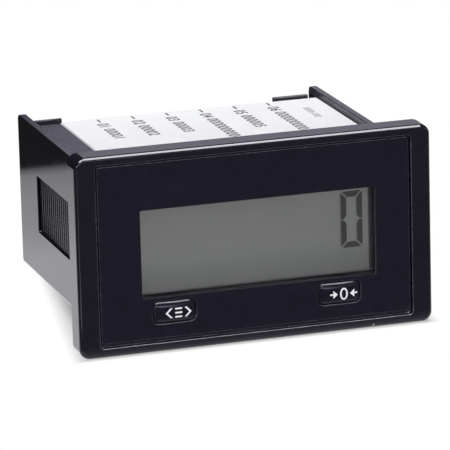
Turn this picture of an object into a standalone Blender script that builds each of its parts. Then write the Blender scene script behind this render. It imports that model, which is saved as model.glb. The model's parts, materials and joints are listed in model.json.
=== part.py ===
"""Panel-mounted electronic counter: liquid-crystal display, two keys and six rear terminals.

Lengths are metres. X runs to the right as the face is read, Y runs from the bezel's face back to the
terminals, and Z runs up from the bezel's lower edge. Depths are measured from the bezel's face, because
every piece hangs on an empty that stands there, half the overall depth in front of the origin.
"""

import math

import bmesh
import bpy

mm = 0.001

# Fits and cuts that many pieces share
clearance = 0.3 * mm
overrun = 1.0 * mm

# Housing, the bezel in front of the panel
bezel_width = 76.2 * mm
bezel_height = 42.2 * mm
bezel_thickness = 5.7 * mm
bezel_corner_radius = 2.2 * mm
bezel_edge_radius = 0.8 * mm

# Housing, the body behind the panel
overall_depth = 60.5 * mm
flange_side = 4.4 * mm
flange_top = 4.2 * mm
flange_bottom = 5.0 * mm
wall = 1.6 * mm
body_edge_radius = 0.8 * mm
wall_end_radius = 1.2 * mm
deck_drop = 1.45 * mm
deck_setback = 6.3 * mm

# Housing, the web behind the face
recess_margin_side = 4.35 * mm
recess_margin_end = 1.95 * mm
recess_depth = 1.2 * mm
recess_corner_radius = 0.7 * mm
web_thickness = 1.2 * mm
key_band_thickness = 1.0 * mm
web_window_margin = 0.4 * mm

# Housing, the latch racks that a panel clip climbs
rack_gap_to_flange = 3.8 * mm
rack_length = 37.3 * mm
rack_height = 12.25 * mm
rack_bottom_above_body = 10.35 * mm
rack_pitch = 1.6 * mm
rack_depth = 0.85 * mm
rack_tooth_height = 0.5 * mm
rack_ramp_share = 0.8

# Housing, the posts for the display board and the rails for the main board
post_width = 3.2 * mm
post_reach = 3.1 * mm
post_hole_radius = 1.1 * mm
post_hole_depth = 4.6 * mm
post_inset_bottom = 2.4 * mm
post_inset_top = 2.15 * mm
rail_height = 1.0 * mm
rail_reach = 1.0 * mm
rail_inset = 1.6 * mm

# Front overlay
overlay_margin_side = 4.75 * mm
overlay_margin_bottom = 2.85 * mm
overlay_margin_top = 2.35 * mm
overlay_thickness = 0.5 * mm
overlay_corner_radius = 0.5 * mm
window_margin_left = 13.6 * mm
window_margin_right = 12.1 * mm
window_margin_bottom = 11.4 * mm
window_margin_top = 12.2 * mm
window_corner_radius = 0.4 * mm

# Keys
key_width = 9.0 * mm
key_height = 4.5 * mm
key_corner_radius = 1.2 * mm
key_inset_left = 6.7 * mm
key_inset_right = 8.2 * mm
key_centre_height = 8.2 * mm
key_gap = 0.2 * mm
key_travel = 0.5 * mm
key_crown_depth = 0.1 * mm
key_crown_height = 0.7 * mm
key_crown_reach = 1.7 * mm
key_stem_width = 4.0 * mm
key_stem_height = 2.0 * mm
key_barb_reach = 0.9 * mm
key_barb_length = 0.6 * mm
key_stem_tip = 0.2 * mm

# Key switches
switch_width = 6.0 * mm
switch_height = 2.6 * mm
switch_depth = 2.0 * mm
switch_bore_radius = 1.1 * mm
switch_bore_depth = 1.5 * mm
plunger_radius = 0.8 * mm
plunger_length = 1.8 * mm

# Display stack
lens_thickness = 0.5 * mm
lens_overlap = 0.4 * mm
polarizer_thickness = 0.2 * mm
polarizer_margin = 1.0 * mm
glass_thickness = 1.0 * mm
glass_margin_side = 1.5 * mm
glass_ledge = 3.0 * mm
rear_glass_margin = 0.6 * mm
frame_wall = 0.8 * mm
zebra_height = 1.8 * mm
zebra_inset = 0.7 * mm

# Display board and what it carries
board_thickness = 1.6 * mm
display_board_margin = 0.3 * mm
board_screw_radius = 0.8 * mm
board_screw_head_radius = 1.25 * mm
board_screw_head_height = 1.2 * mm
board_screw_length = 5.0 * mm
board_screw_hole_radius = 1.1 * mm
chip_size = 8.0 * mm
chip_thickness = 1.6 * mm
chip_lead_count = 7
chip_lead_pitch = 1.0 * mm
chip_lead_width = 0.4 * mm
chip_lead_reach = 1.0 * mm
chip_lead_height = 0.5 * mm
crystal_radius = 1.0 * mm
crystal_length = 6.0 * mm
crystal_lead_length = 2.0 * mm
crystal_lead_width = 0.3 * mm
chip_place_shares = (0.72, 0.81)
crystal_place_shares = (0.42, 0.8)

# Header that joins the two boards
header_pin_count = 8
header_pitch = 2.54 * mm
header_depth = 2.5 * mm
header_height = 2.5 * mm
header_pin_width = 0.64 * mm
header_pin_stub = 1.0 * mm
header_rise = 2.4 * mm
header_centre_share = 0.68
header_gap = 1.8 * mm

# Battery with its solder tabs
battery_radius = 12.25 * mm
battery_height = 5.0 * mm
battery_edge_radius = 0.5 * mm
tab_width = 4.0 * mm
tab_thickness = 0.2 * mm
tab_overhang = 2.0 * mm
battery_side_gap = 0.9 * mm
battery_depth_share = 0.5

# Components on the main board
capacitor_radius = 2.5 * mm
capacitor_height = 7.0 * mm
capacitor_groove = 0.25 * mm
capacitor_place_shares = ((0.62, 0.82), (0.8, 0.82))
coupler_length = 4.8 * mm
coupler_width = 6.4 * mm
coupler_height = 3.5 * mm
coupler_standoff = 0.6 * mm
coupler_lead_width = 0.5 * mm
coupler_lead_spacing = 2.54 * mm
coupler_lead_reach = 0.6 * mm
coupler_place_shares = ((0.62, 0.62), (0.8, 0.62))
resistor_radius = 1.1 * mm
resistor_length = 6.0 * mm
resistor_span = 9.0 * mm
resistor_lead_width = 0.6 * mm
resistor_standoff = 0.4 * mm
resistor_place_shares = ((0.62, 0.22), (0.62, 0.35), (0.82, 0.22), (0.82, 0.35))

# Terminal block
terminal_count = 6
terminal_pitch = 7.62 * mm
terminal_offset = 0.9 * mm
block_end_margin = 0.84 * mm
block_depth = 10.9 * mm
block_drop = 3.05 * mm
block_floor = 0.5 * mm
block_ledge = 1.2 * mm
chamber_width = 5.2 * mm
chamber_depth = 4.8 * mm
chamber_setback = 0.8 * mm
wire_entry_width = 3.2 * mm
head_sink = 0.5 * mm
head_radius = 1.9 * mm
head_height = 1.6 * mm
head_slot_width = 0.8 * mm
head_slot_depth = 0.9 * mm
head_gap = 0.2 * mm
shank_radius = 1.25 * mm
shank_gap = 0.25 * mm
shank_tip_chamfer = 0.3 * mm

# Rising clamps and contacts
clamp_travel = 2.1 * mm
clamp_bite_gap = 0.2 * mm
cage_floor = 0.9 * mm
cage_side = 0.7 * mm
cage_nut = 1.4 * mm
contact_width = 1.6 * mm
contact_thickness = 0.5 * mm
contact_leg_thickness = 0.7 * mm
contact_leg_setback = 1.6 * mm
contact_pin_length = 1.0 * mm

# Rear cover
cover_inset = 0.1 * mm
cover_thickness = 1.4 * mm
cover_shelf = 1.2 * mm
riser_thickness = 1.0 * mm
riser_drop = 0.35 * mm
lip_rise = 0.85 * mm
lip_left_gap = 0.7 * mm
lip_left_length = 5.9 * mm
lip_right_gap = 2.1 * mm
lip_right_length = 7.9 * mm
tongue_width = 5.0 * mm
tongue_thickness = 1.0 * mm
tongue_length = 7.0 * mm
tongue_spacing = 40.0 * mm
barb_length = 2.0 * mm
barb_cover = 0.6 * mm

# Label on the deck
label_left_gap = 5.8 * mm
label_right_gap = 0.2 * mm
label_rear_gap = 0.2 * mm
label_front_gap = 4.3 * mm
label_thickness = 0.15 * mm
label_lift = 0.15 * mm

# How finely round shapes are divided
corner_steps = 5
edge_steps = 4
round_sides = 16
small_round_sides = 12
crown_steps = 5
least_corner_share = 0.1
sharp_angle = math.radians(35)

# Housing levels and depths, worked out from the sizes above
body_half_width = bezel_width / 2 - flange_side
inner_half_width = body_half_width - wall
wall_top = bezel_height - flange_top
deck = wall_top - deck_drop
ceiling = deck - wall
floor_top = flange_bottom + wall
deck_end = overall_depth - deck_setback
web_back = recess_depth + web_thickness
band_back = web_back + key_band_thickness

# Window edges
window_left = window_margin_left - bezel_width / 2
window_right = bezel_width / 2 - window_margin_right
window_bottom = window_margin_bottom
window_top = bezel_height - window_margin_top

# Depths through the display, each piece one clearance behind the last
lens_front = web_back + clearance
polarizer_front = lens_front + lens_thickness + clearance
glass_front = polarizer_front + polarizer_thickness + clearance
rear_glass_front = glass_front + glass_thickness + clearance
reflector_front = rear_glass_front + glass_thickness + clearance
frame_plate_front = reflector_front + polarizer_thickness + clearance
frame_back = frame_plate_front + frame_wall
frame_front = band_back + clearance
display_board_front = frame_back + clearance
display_board_back = display_board_front + board_thickness

# Edges of the display glass
glass_left = window_left - glass_margin_side
glass_right = window_right + glass_margin_side
glass_bottom = window_bottom - lens_overlap
glass_top = window_top + glass_ledge
rear_glass_top = window_top + rear_glass_margin
band_top = glass_bottom - clearance

# Depths along a key
key_back = web_back - clearance - key_travel
barb_front = band_back + clearance
key_stem_end = barb_front + key_barb_length + key_stem_tip
plunger_front = key_stem_end + clearance
switch_back = display_board_front - clearance
switch_front = switch_back - switch_depth

# Places of the display board's posts and screws
post_half = post_width / 2
post_x = inner_half_width - post_reach + post_half
post_low = floor_top + post_inset_bottom
post_high = ceiling - post_inset_top
post_end = display_board_front - clearance

# Levels of the terminal block, stacked up from its floor
cage_opening = clearance + contact_thickness + clamp_travel + clamp_bite_gap
cage_height = cage_floor + cage_opening + cage_nut
chamber_height = clearance + cage_height + clamp_travel + clearance
block_height = block_floor + chamber_height + block_ledge + clearance + head_height + head_sink
block_top = deck - block_drop
block_bottom = block_top - block_height
chamber_bottom = block_bottom + block_floor
chamber_top = chamber_bottom + chamber_height
cage_bottom = chamber_bottom + clearance
ledge_top = chamber_top + block_ledge
head_bottom = ledge_top + clearance
contact_top = cage_bottom + cage_floor + cage_opening - clearance
contact_bottom = contact_top - contact_thickness
shank_tip = contact_top + clearance

# Depths of the terminal block and the rear cover
cover_back = overall_depth - cover_inset
cover_front = cover_back - cover_thickness
block_back = cover_back
block_front = block_back - block_depth
chamber_back = block_back - chamber_setback
chamber_front = chamber_back - chamber_depth
screw_depth = (chamber_front + chamber_back) / 2
leg_back = chamber_front - contact_leg_setback + contact_leg_thickness
leg_front = leg_back - contact_leg_thickness
riser_front = deck_end + clearance
riser_back = riser_front + riser_thickness
tongue_front = cover_front - tongue_length

# Levels and ends of the main board
main_board_top = block_bottom - clearance
main_board_bottom = main_board_top - board_thickness
main_board_front = display_board_back + clearance
main_board_back = cover_front - clearance
main_board_half_width = inner_half_width - clearance
seat_level = main_board_top + clearance

# Finishes: base colour, roughness and metallic value
finishes = {
    "gloss_black": ((0.012, 0.012, 0.014), 0.18, 0.0),
    "overlay_black": ((0.010, 0.010, 0.013), 0.12, 0.0),
    "key_black": ((0.014, 0.014, 0.018), 0.15, 0.0),
    "clear_pane": ((0.80, 0.82, 0.80), 0.05, 0.0),
    "display_film": ((0.16, 0.16, 0.145), 0.35, 0.0),
    "display_glass": ((0.72, 0.78, 0.74), 0.05, 0.0),
    "frame_grey": ((0.08, 0.08, 0.085), 0.5, 0.0),
    "zebra_rubber": ((0.04, 0.04, 0.045), 0.8, 0.0),
    "circuit_board": ((0.03, 0.16, 0.06), 0.45, 0.0),
    "component_black": ((0.02, 0.02, 0.02), 0.55, 0.0),
    "component_tan": ((0.55, 0.42, 0.26), 0.5, 0.0),
    "tin_plate": ((0.72, 0.72, 0.70), 0.3, 1.0),
    "steel": ((0.60, 0.60, 0.60), 0.3, 1.0),
    "brass": ((0.72, 0.56, 0.28), 0.3, 1.0),
    "terminal_black": ((0.02, 0.02, 0.02), 0.4, 0.0),
    "label_white": ((0.86, 0.86, 0.85), 0.5, 0.0),
}


def clear_scene():
    """Removes every object that the scene starts with."""
    for obj in list(bpy.data.objects):
        bpy.data.objects.remove(obj, do_unlink=True)


def finish_material(name):
    """Returns the named material, made on first use."""
    found = bpy.data.materials.get(name)
    if found:
        return found
    colour, roughness, metallic = finishes[name]
    made = bpy.data.materials.new(name)
    made.use_nodes = True
    made.diffuse_color = (*colour, 1.0)
    shader = made.node_tree.nodes["Principled BSDF"]
    shader.inputs["Base Color"].default_value = (*colour, 1.0)
    shader.inputs["Roughness"].default_value = roughness
    shader.inputs["Metallic"].default_value = metallic
    return made


def face_empty():
    """Returns the empty at the bezel's face, on which every piece hangs."""
    found = bpy.data.objects.get("bezel_face")
    if found:
        return found
    made = bpy.data.objects.new("bezel_face", None)
    made.location = (0, -overall_depth / 2, 0)
    bpy.context.scene.collection.objects.link(made)
    return made


def close_loops(bm, loops):
    """Skins a stack of point loops of equal length and caps both ends."""
    rows = [[bm.verts.new(point) for point in loop] for loop in loops]
    for low, high in zip(rows, rows[1:]):
        for here in range(len(low)):
            after = (here + 1) % len(low)
            bm.faces.new((low[here], low[after], high[after], high[here]))
    bm.faces.new(rows[0])
    bm.faces.new(rows[-1])


def place_points(outline, axis, level):
    """Puts the (u, v) points of an outline at one level of an axis."""
    if axis == "x":
        return [(level, u, v) for u, v in outline]
    if axis == "y":
        return [(u, level, v) for u, v in outline]
    return [(u, v, level) for u, v in outline]


def add_prism(bm, outline, axis, start, end):
    """Extrudes an outline along an axis from start to end."""
    close_loops(bm, [place_points(outline, axis, level) for level in (start, end)])


def rectangle(low, high):
    """Returns the corners of a rectangle between two opposite corners."""
    return [(low[0], low[1]), (high[0], low[1]), (high[0], high[1]), (low[0], high[1])]


def add_box(bm, x_ends, y_ends, z_ends):
    """Adds a box between two values on each axis."""
    outline = rectangle((x_ends[0], z_ends[0]), (x_ends[1], z_ends[1]))
    add_prism(bm, outline, "y", y_ends[0], y_ends[1])


def circle(centre, radius, sides):
    """Returns the points of a regular polygon inside a circle."""
    turns = [2 * math.pi * side / sides for side in range(sides)]
    return [(centre[0] + radius * math.cos(turn), centre[1] + radius * math.sin(turn)) for turn in turns]


def add_cylinder(bm, centre, radius, axis, start, end, sides):
    """Adds a cylinder about a centre in the plane across the axis."""
    add_prism(bm, circle(centre, radius, sides), axis, start, end)


def add_turned(bm, centre, profile, axis, sides):
    """Adds a turned piece from (level, radius) pairs along an axis."""
    close_loops(bm, [place_points(circle(centre, radius, sides), axis, level) for level, radius in profile])


def rounded_rectangle(low, high, radius, steps):
    """Returns a rectangle whose corners are quarter circles of a radius."""
    reach = min(radius, (high[0] - low[0]) / 2, (high[1] - low[1]) / 2)
    corners = [
        ((high[0] - reach, high[1] - reach), 0),
        ((low[0] + reach, high[1] - reach), 1),
        ((low[0] + reach, low[1] + reach), 2),
        ((high[0] - reach, low[1] + reach), 3),
    ]
    outline = []
    for centre, quarter in corners:
        for step in range(steps + 1):
            turn = math.pi / 2 * (quarter + step / steps)
            outline.append((centre[0] + reach * math.cos(turn), centre[1] + reach * math.sin(turn)))
    return outline


def inset_outline(low, high, radius, inset, steps):
    """Returns a rounded rectangle drawn in on all sides by an inset."""
    small_low = (low[0] + inset, low[1] + inset)
    small_high = (high[0] - inset, high[1] - inset)
    return rounded_rectangle(small_low, small_high, max(radius - inset, radius * least_corner_share), steps)


def make(name, bm, finish, origin=(0, 0, 0), smooth=False):
    """Turns a bmesh into a piece on the face empty, with its own origin."""
    bmesh.ops.recalc_face_normals(bm, faces=bm.faces)
    bmesh.ops.translate(bm, verts=bm.verts, vec=[-value for value in origin])
    mesh = bpy.data.meshes.new(name)
    bm.to_mesh(mesh)
    bm.free()
    if smooth:
        mesh.shade_smooth()
        mesh.set_sharp_from_angle(angle=sharp_angle)
    piece = bpy.data.objects.new(name, mesh)
    piece.parent = face_empty()
    piece.location = origin
    if finish:
        mesh.materials.append(finish_material(finish))
    bpy.context.scene.collection.objects.link(piece)
    return piece


def combine(piece, name, bm, operation):
    """Cuts a hidden helper shape from a piece or joins it on."""
    helper = make(f"{piece.name}_{name}", bm, None)
    helper.hide_render = True
    helper.display_type = "WIRE"
    boolean = piece.modifiers.new(name, "BOOLEAN")
    boolean.operation = operation
    boolean.object = helper


def cut(piece, name, bm):
    """Cuts a hidden helper shape from a piece."""
    combine(piece, name, bm, "DIFFERENCE")


def join(piece, name, bm):
    """Joins a hidden helper shape to a piece."""
    combine(piece, name, bm, "UNION")


def key_centres():
    """Returns the middle of each key across the bezel, select first."""
    return (window_left + key_inset_left, window_right - key_inset_right)


def terminal_centres():
    """Returns the middle of each terminal, from left to right."""
    first = terminal_offset - terminal_pitch * (terminal_count - 1) / 2
    return [first + terminal_pitch * index for index in range(terminal_count)]


def block_ends():
    """Returns both ends of the terminal block along X."""
    half = terminal_count * terminal_pitch / 2 + block_end_margin
    return (terminal_offset - half, terminal_offset + half)


def on_main_board(shares):
    """Returns a place on the main board, as shares of its free area in front of the block."""
    across = main_board_half_width * (2 * shares[0] - 1)
    along = main_board_front + (block_front - main_board_front) * shares[1]
    return across, along


# Housing

def bezel_shape():
    """Returns the bezel as a lofted block with a rounded front edge."""
    low = (-bezel_width / 2, 0)
    high = (bezel_width / 2, bezel_height)
    loops = []
    for step in range(edge_steps + 1):
        turn = math.pi / 2 * step / edge_steps
        inset = bezel_edge_radius * (1 - math.sin(turn))
        depth = bezel_edge_radius * (1 - math.cos(turn))
        outline = inset_outline(low, high, bezel_corner_radius, inset, corner_steps)
        loops.append(place_points(outline, "y", depth))
    outline = rounded_rectangle(low, high, bezel_corner_radius, corner_steps)
    loops.append(place_points(outline, "y", bezel_thickness))
    bm = bmesh.new()
    close_loops(bm, loops)
    return bm


def body_shape():
    """Returns the body's cross-section, side walls above the deck, run back to the rear."""
    half = body_half_width
    lower = []
    for side in (1, -1):
        centre = (side * (half - body_edge_radius), flange_bottom + body_edge_radius)
        arc = []
        for step in range(corner_steps + 1):
            turn = -math.pi / 2 * step / corner_steps
            arc.append((centre[0] + side * body_edge_radius * math.cos(turn),
                        centre[1] + body_edge_radius * math.sin(turn)))
        lower += arc if side > 0 else arc[::-1]
    outline = lower + [
        (-half, wall_top),
        (-inner_half_width, wall_top),
        (-inner_half_width, deck),
        (inner_half_width, deck),
        (inner_half_width, wall_top),
        (half, wall_top),
    ]
    bm = bmesh.new()
    add_prism(bm, outline, "y", bezel_thickness / 2, overall_depth)
    return bm


def wall_end_shape():
    """Returns the corners that the side walls' rear ends lose, above and below."""
    bm = bmesh.new()
    radius = wall_end_radius
    for level, upward in ((wall_top, 1), (flange_bottom, -1)):
        centre = (overall_depth - radius, level - upward * radius)
        outline = [(overall_depth + overrun, level + upward * overrun),
                   (centre[0], level + upward * overrun)]
        for step in range(corner_steps + 1):
            turn = math.pi / 2 * (1 - step / corner_steps)
            outline.append((centre[0] + radius * math.cos(turn), centre[1] + upward * radius * math.sin(turn)))
        outline.append((overall_depth + overrun, centre[1]))
        add_prism(bm, outline, "x", -body_half_width - overrun, body_half_width + overrun)
    return bm


def rack_shape(side):
    """Returns the pocket cut into one side wall, with saw teeth on its floor, steep towards the front."""
    start = bezel_thickness + rack_gap_to_flange
    teeth = int(rack_length / rack_pitch)
    outside = side * (body_half_width + overrun)
    deep = side * (body_half_width - rack_depth)
    crest = side * (body_half_width - rack_depth + rack_tooth_height)
    outline = [(outside, start), (deep, start)]
    for tooth in range(teeth):
        outline.append((crest, start + rack_pitch * (tooth + 1 - rack_ramp_share)))
        outline.append((deep, start + rack_pitch * (tooth + 1)))
    outline.append((outside, start + rack_pitch * teeth))
    bottom = flange_bottom + rack_bottom_above_body
    bm = bmesh.new()
    add_prism(bm, outline, "z", bottom, bottom + rack_height)
    return bm


def make_housing():
    """Makes the moulded housing: bezel, web, walls, racks, posts and rails."""
    housing = make("housing", bezel_shape(), "gloss_black")
    join(housing, "body", body_shape())
    rear = overall_depth + overrun

    bm = bmesh.new()
    add_box(bm, (-inner_half_width, inner_half_width), (band_back, rear), (floor_top, ceiling))
    cut(housing, "cavity", bm)
    bm = bmesh.new()
    add_box(bm, (-inner_half_width, inner_half_width), (web_back, band_back + clearance), (band_top, ceiling))
    cut(housing, "display_bay", bm)
    bm = bmesh.new()
    add_box(bm, (-inner_half_width, inner_half_width), (deck_end, rear), (ceiling - wall, wall_top + overrun))
    cut(housing, "terminal_bay", bm)

    half = bezel_width / 2 - recess_margin_side
    outline = rounded_rectangle((-half, recess_margin_end), (half, bezel_height - recess_margin_end),
                                recess_corner_radius, corner_steps)
    bm = bmesh.new()
    add_prism(bm, outline, "y", -overrun, recess_depth)
    cut(housing, "recess", bm)

    outline = rounded_rectangle((window_left - web_window_margin, window_bottom - web_window_margin / 2),
                                (window_right + web_window_margin, window_top + web_window_margin),
                                window_corner_radius, corner_steps)
    bm = bmesh.new()
    add_prism(bm, outline, "y", 0, web_back + overrun)
    cut(housing, "window", bm)

    bm = bmesh.new()
    for centre in key_centres():
        add_prism(bm, key_outline(centre, -key_gap), "y", 0, web_back)
    cut(housing, "key_pockets", bm)
    bm = bmesh.new()
    for centre in key_centres():
        reach = key_stem_width / 2 + clearance
        rise = key_stem_height / 2 + clearance
        add_box(bm, (centre - reach, centre + reach), (recess_depth, band_back + overrun),
                (key_centre_height - rise, key_centre_height + rise))
    cut(housing, "stem_holes", bm)

    for name, side in (("left_rack", -1), ("right_rack", 1)):
        cut(housing, name, rack_shape(side))
    cut(housing, "wall_ends", wall_end_shape())
    cut(housing, "barb_slots", barb_slot_shape())
    join(housing, "posts", post_shape())
    cut(housing, "post_holes", post_hole_shape())
    join(housing, "rails", rail_shape())


def post_shape():
    """Returns the four posts between web and display board, grown out of the side walls."""
    bm = bmesh.new()
    for side in (-1, 1):
        ends = sorted((side * (inner_half_width - post_reach), side * (inner_half_width + wall / 2)))
        for level in (post_low, post_high):
            add_box(bm, ends, (recess_depth + web_thickness / 2, post_end), (level - post_half, level + post_half))
    return bm


def post_hole_shape():
    """Returns the screw holes in the posts."""
    bm = bmesh.new()
    for side in (-1, 1):
        for level in (post_low, post_high):
            add_cylinder(bm, (side * post_x, level), post_hole_radius, "y", post_end - post_hole_depth,
                         post_end + overrun, small_round_sides)
    return bm


def rail_shape():
    """Returns the pairs of rails that hold the main board's long edges."""
    bm = bmesh.new()
    for side in (-1, 1):
        ends = sorted((side * (inner_half_width - rail_reach), side * (inner_half_width + wall / 2)))
        for bottom in (main_board_top + clearance, main_board_bottom - clearance - rail_height):
            add_box(bm, ends, (main_board_front + rail_inset, main_board_back - rail_inset),
                    (bottom, bottom + rail_height))
    return bm


def barb_slot_shape():
    """Returns the slots in the floor that the rear cover's barbs snap into."""
    bm = bmesh.new()
    reach = tongue_width / 2 + clearance
    for side in (-1, 1):
        centre = side * tongue_spacing / 2
        add_box(bm, (centre - reach, centre + reach),
                (tongue_front - clearance, tongue_front + barb_length + clearance),
                (flange_bottom - overrun, floor_top + overrun))
    return bm


# Front overlay and keys

def key_outline(centre, inset):
    """Returns a key's outline about its centre, drawn in by an inset."""
    low = (centre - key_width / 2, key_centre_height - key_height / 2)
    high = (centre + key_width / 2, key_centre_height + key_height / 2)
    return inset_outline(low, high, key_corner_radius, inset, corner_steps)


def make_overlay():
    """Makes the black face plate with its window and key openings."""
    half = bezel_width / 2 - overlay_margin_side
    front = recess_depth - clearance - overlay_thickness
    back = recess_depth - clearance
    outline = rounded_rectangle((-half, overlay_margin_bottom), (half, bezel_height - overlay_margin_top),
                                overlay_corner_radius, corner_steps)
    bm = bmesh.new()
    add_prism(bm, outline, "y", front, back)
    overlay = make("front_overlay", bm, "overlay_black")
    outline = rounded_rectangle((window_left, window_bottom), (window_right, window_top),
                                window_corner_radius, corner_steps)
    bm = bmesh.new()
    add_prism(bm, outline, "y", front - overrun, back + overrun)
    for centre in key_centres():
        add_prism(bm, key_outline(centre, -key_gap), "y", front - overrun, back + overrun)
    cut(overlay, "openings", bm)


def make_key(name, centre):
    """Makes one key: crowned cap, stem and the barbs that keep it in the web."""
    loops = [place_points(key_outline(centre, 0), "y", key_back)]
    for step in range(crown_steps + 1):
        turn = math.pi / 2 * step / crown_steps
        inset = key_crown_reach * (1 - math.cos(turn))
        depth = key_crown_depth + key_crown_height * (1 - math.sin(turn))
        loops.append(place_points(key_outline(centre, inset), "y", depth))
    bm = bmesh.new()
    close_loops(bm, loops)
    key = make(name, bm, "key_black", (centre, key_crown_depth, key_centre_height), smooth=True)

    half = key_stem_width / 2
    rise = key_stem_height / 2
    barb_end = barb_front + key_barb_length
    outline = [
        (centre - half, key_back - key_travel),
        (centre + half, key_back - key_travel),
        (centre + half, barb_front),
        (centre + half + key_barb_reach, barb_front),
        (centre + half, barb_end),
        (centre + half, key_stem_end),
        (centre - half, key_stem_end),
        (centre - half, barb_end),
        (centre - half - key_barb_reach, barb_front),
        (centre - half, barb_front),
    ]
    bm = bmesh.new()
    add_prism(bm, outline, "z", key_centre_height - rise, key_centre_height + rise)
    join(key, "stem", bm)


def make_switch(side_name, centre):
    """Makes one key switch on the display board, and its plunger in front of the key's stem."""
    bm = bmesh.new()
    add_box(bm, (centre - switch_width / 2, centre + switch_width / 2), (switch_front, switch_back),
            (key_centre_height - switch_height / 2, key_centre_height + switch_height / 2))
    body = make(f"{side_name}_switch", bm, "component_black")
    bm = bmesh.new()
    add_cylinder(bm, (centre, key_centre_height), switch_bore_radius, "y", switch_front - overrun,
                 switch_front + switch_bore_depth, small_round_sides)
    cut(body, "bore", bm)
    bm = bmesh.new()
    add_cylinder(bm, (centre, key_centre_height), plunger_radius, "y", plunger_front,
                 plunger_front + plunger_length, small_round_sides)
    make(f"{side_name}_switch_plunger", bm, "component_tan", (centre, plunger_front, key_centre_height), smooth=True)


# Display

def make_pane(name, finish, front, thickness, x_ends, z_ends):
    """Makes one flat pane of the display stack."""
    bm = bmesh.new()
    add_box(bm, x_ends, (front, front + thickness), z_ends)
    make(name, bm, finish)


def make_display():
    """Makes the window lens, the films and glasses of the display, and the contact strip."""
    glass_x = (glass_left, glass_right)
    film_x = (window_left - polarizer_margin, window_right + polarizer_margin)
    rear_z = (glass_bottom, rear_glass_top)
    make_pane("window_lens", "clear_pane", lens_front, lens_thickness, glass_x, (glass_bottom, glass_top))
    make_pane("lcd_front_polarizer", "display_film", polarizer_front, polarizer_thickness, film_x, rear_z)
    make_pane("lcd_front_glass", "display_glass", glass_front, glass_thickness, glass_x, (glass_bottom, glass_top))
    make_pane("lcd_rear_glass", "display_glass", rear_glass_front, glass_thickness, glass_x, rear_z)
    make_pane("lcd_rear_reflector", "display_film", reflector_front, polarizer_thickness, film_x, rear_z)
    strip_bottom = rear_glass_top + clearance
    strip_front = glass_front + glass_thickness + clearance
    strip_x = (glass_left + zebra_inset, glass_right - zebra_inset)
    make_pane("zebra_strip", "zebra_rubber", strip_front, display_board_front - clearance - strip_front,
              strip_x, (strip_bottom, strip_bottom + zebra_height))


def make_display_frame():
    """Makes the tray that holds the display glass against the web."""
    reach = clearance + frame_wall
    bm = bmesh.new()
    add_box(bm, (glass_left - reach, glass_right + reach), (frame_front, frame_back),
            (glass_bottom - reach, glass_top + reach))
    tray = make("lcd_frame", bm, "frame_grey")
    bm = bmesh.new()
    add_box(bm, (glass_left - clearance, glass_right + clearance), (frame_front - overrun, frame_plate_front),
            (glass_bottom - clearance, glass_top + clearance))
    cut(tray, "glass_pocket", bm)
    bm = bmesh.new()
    slot_bottom = rear_glass_top
    add_box(bm, (glass_left, glass_right), (frame_plate_front - clearance, frame_back + overrun),
            (slot_bottom, slot_bottom + zebra_height + clearance + clearance))
    cut(tray, "strip_slot", bm)


# Boards and what they carry

def make_display_board():
    """Makes the upright board behind the display, its four screws, the chip and the crystal."""
    half = inner_half_width - display_board_margin
    low = floor_top + display_board_margin
    high = ceiling - display_board_margin
    bm = bmesh.new()
    add_box(bm, (-half, half), (display_board_front, display_board_back), (low, high))
    board = make("display_board", bm, "circuit_board")
    holes = bmesh.new()
    for side in (-1, 1):
        for level in (post_low, post_high):
            add_cylinder(holes, (side * post_x, level), board_screw_hole_radius, "y",
                         display_board_front - overrun, display_board_back + overrun, small_round_sides)
    cut(board, "screw_holes", holes)
    cut(board, "header_holes", header_hole_shape("y"))

    head = display_board_back + clearance
    tip = head - board_screw_length
    profile = [(tip, board_screw_radius / 2), (tip + board_screw_radius, board_screw_radius),
               (head, board_screw_radius), (head, board_screw_head_radius),
               (head + board_screw_head_height / 2, board_screw_head_radius),
               (head + board_screw_head_height, board_screw_head_radius / 2)]
    places = [(side * post_x, level) for side in (-1, 1) for level in (post_low, post_high)]
    for number, (across, level) in enumerate(places, 1):
        bm = bmesh.new()
        add_turned(bm, (across, level), profile, "y", small_round_sides)
        make(f"display_board_screw_{number}", bm, "steel", (across, display_board_back, level), smooth=True)
    make_chip(half, low, high)
    make_crystal(half, low, high)


def make_chip(half, low, high):
    """Makes the counter chip on the back of the display board, with leads on two sides."""
    centre_x = half * (2 * chip_place_shares[0] - 1)
    centre_z = low + (high - low) * chip_place_shares[1]
    front = display_board_back + clearance
    reach = chip_size / 2
    body_front = front + chip_lead_height - chip_lead_width
    bm = bmesh.new()
    add_box(bm, (centre_x - reach, centre_x + reach), (body_front, body_front + chip_thickness),
            (centre_z - reach, centre_z + reach))
    chip = make("counter_chip", bm, "component_black")
    bm = bmesh.new()
    knee = body_front + chip_thickness / 2
    foot = reach + chip_lead_reach
    for side in (-1, 1):
        for index in range(chip_lead_count):
            middle = centre_x + chip_lead_pitch * (index - (chip_lead_count - 1) / 2)
            outline = [
                (knee, centre_z + side * (reach - chip_lead_width)),
                (knee, centre_z + side * foot),
                (front, centre_z + side * foot),
                (front, centre_z + side * (foot - chip_lead_width)),
                (knee - chip_lead_width, centre_z + side * (foot - chip_lead_width)),
                (knee - chip_lead_width, centre_z + side * (reach - chip_lead_width)),
            ]
            add_prism(bm, outline, "x", middle - chip_lead_width / 2, middle + chip_lead_width / 2)
    join(chip, "leads", bm)


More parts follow.
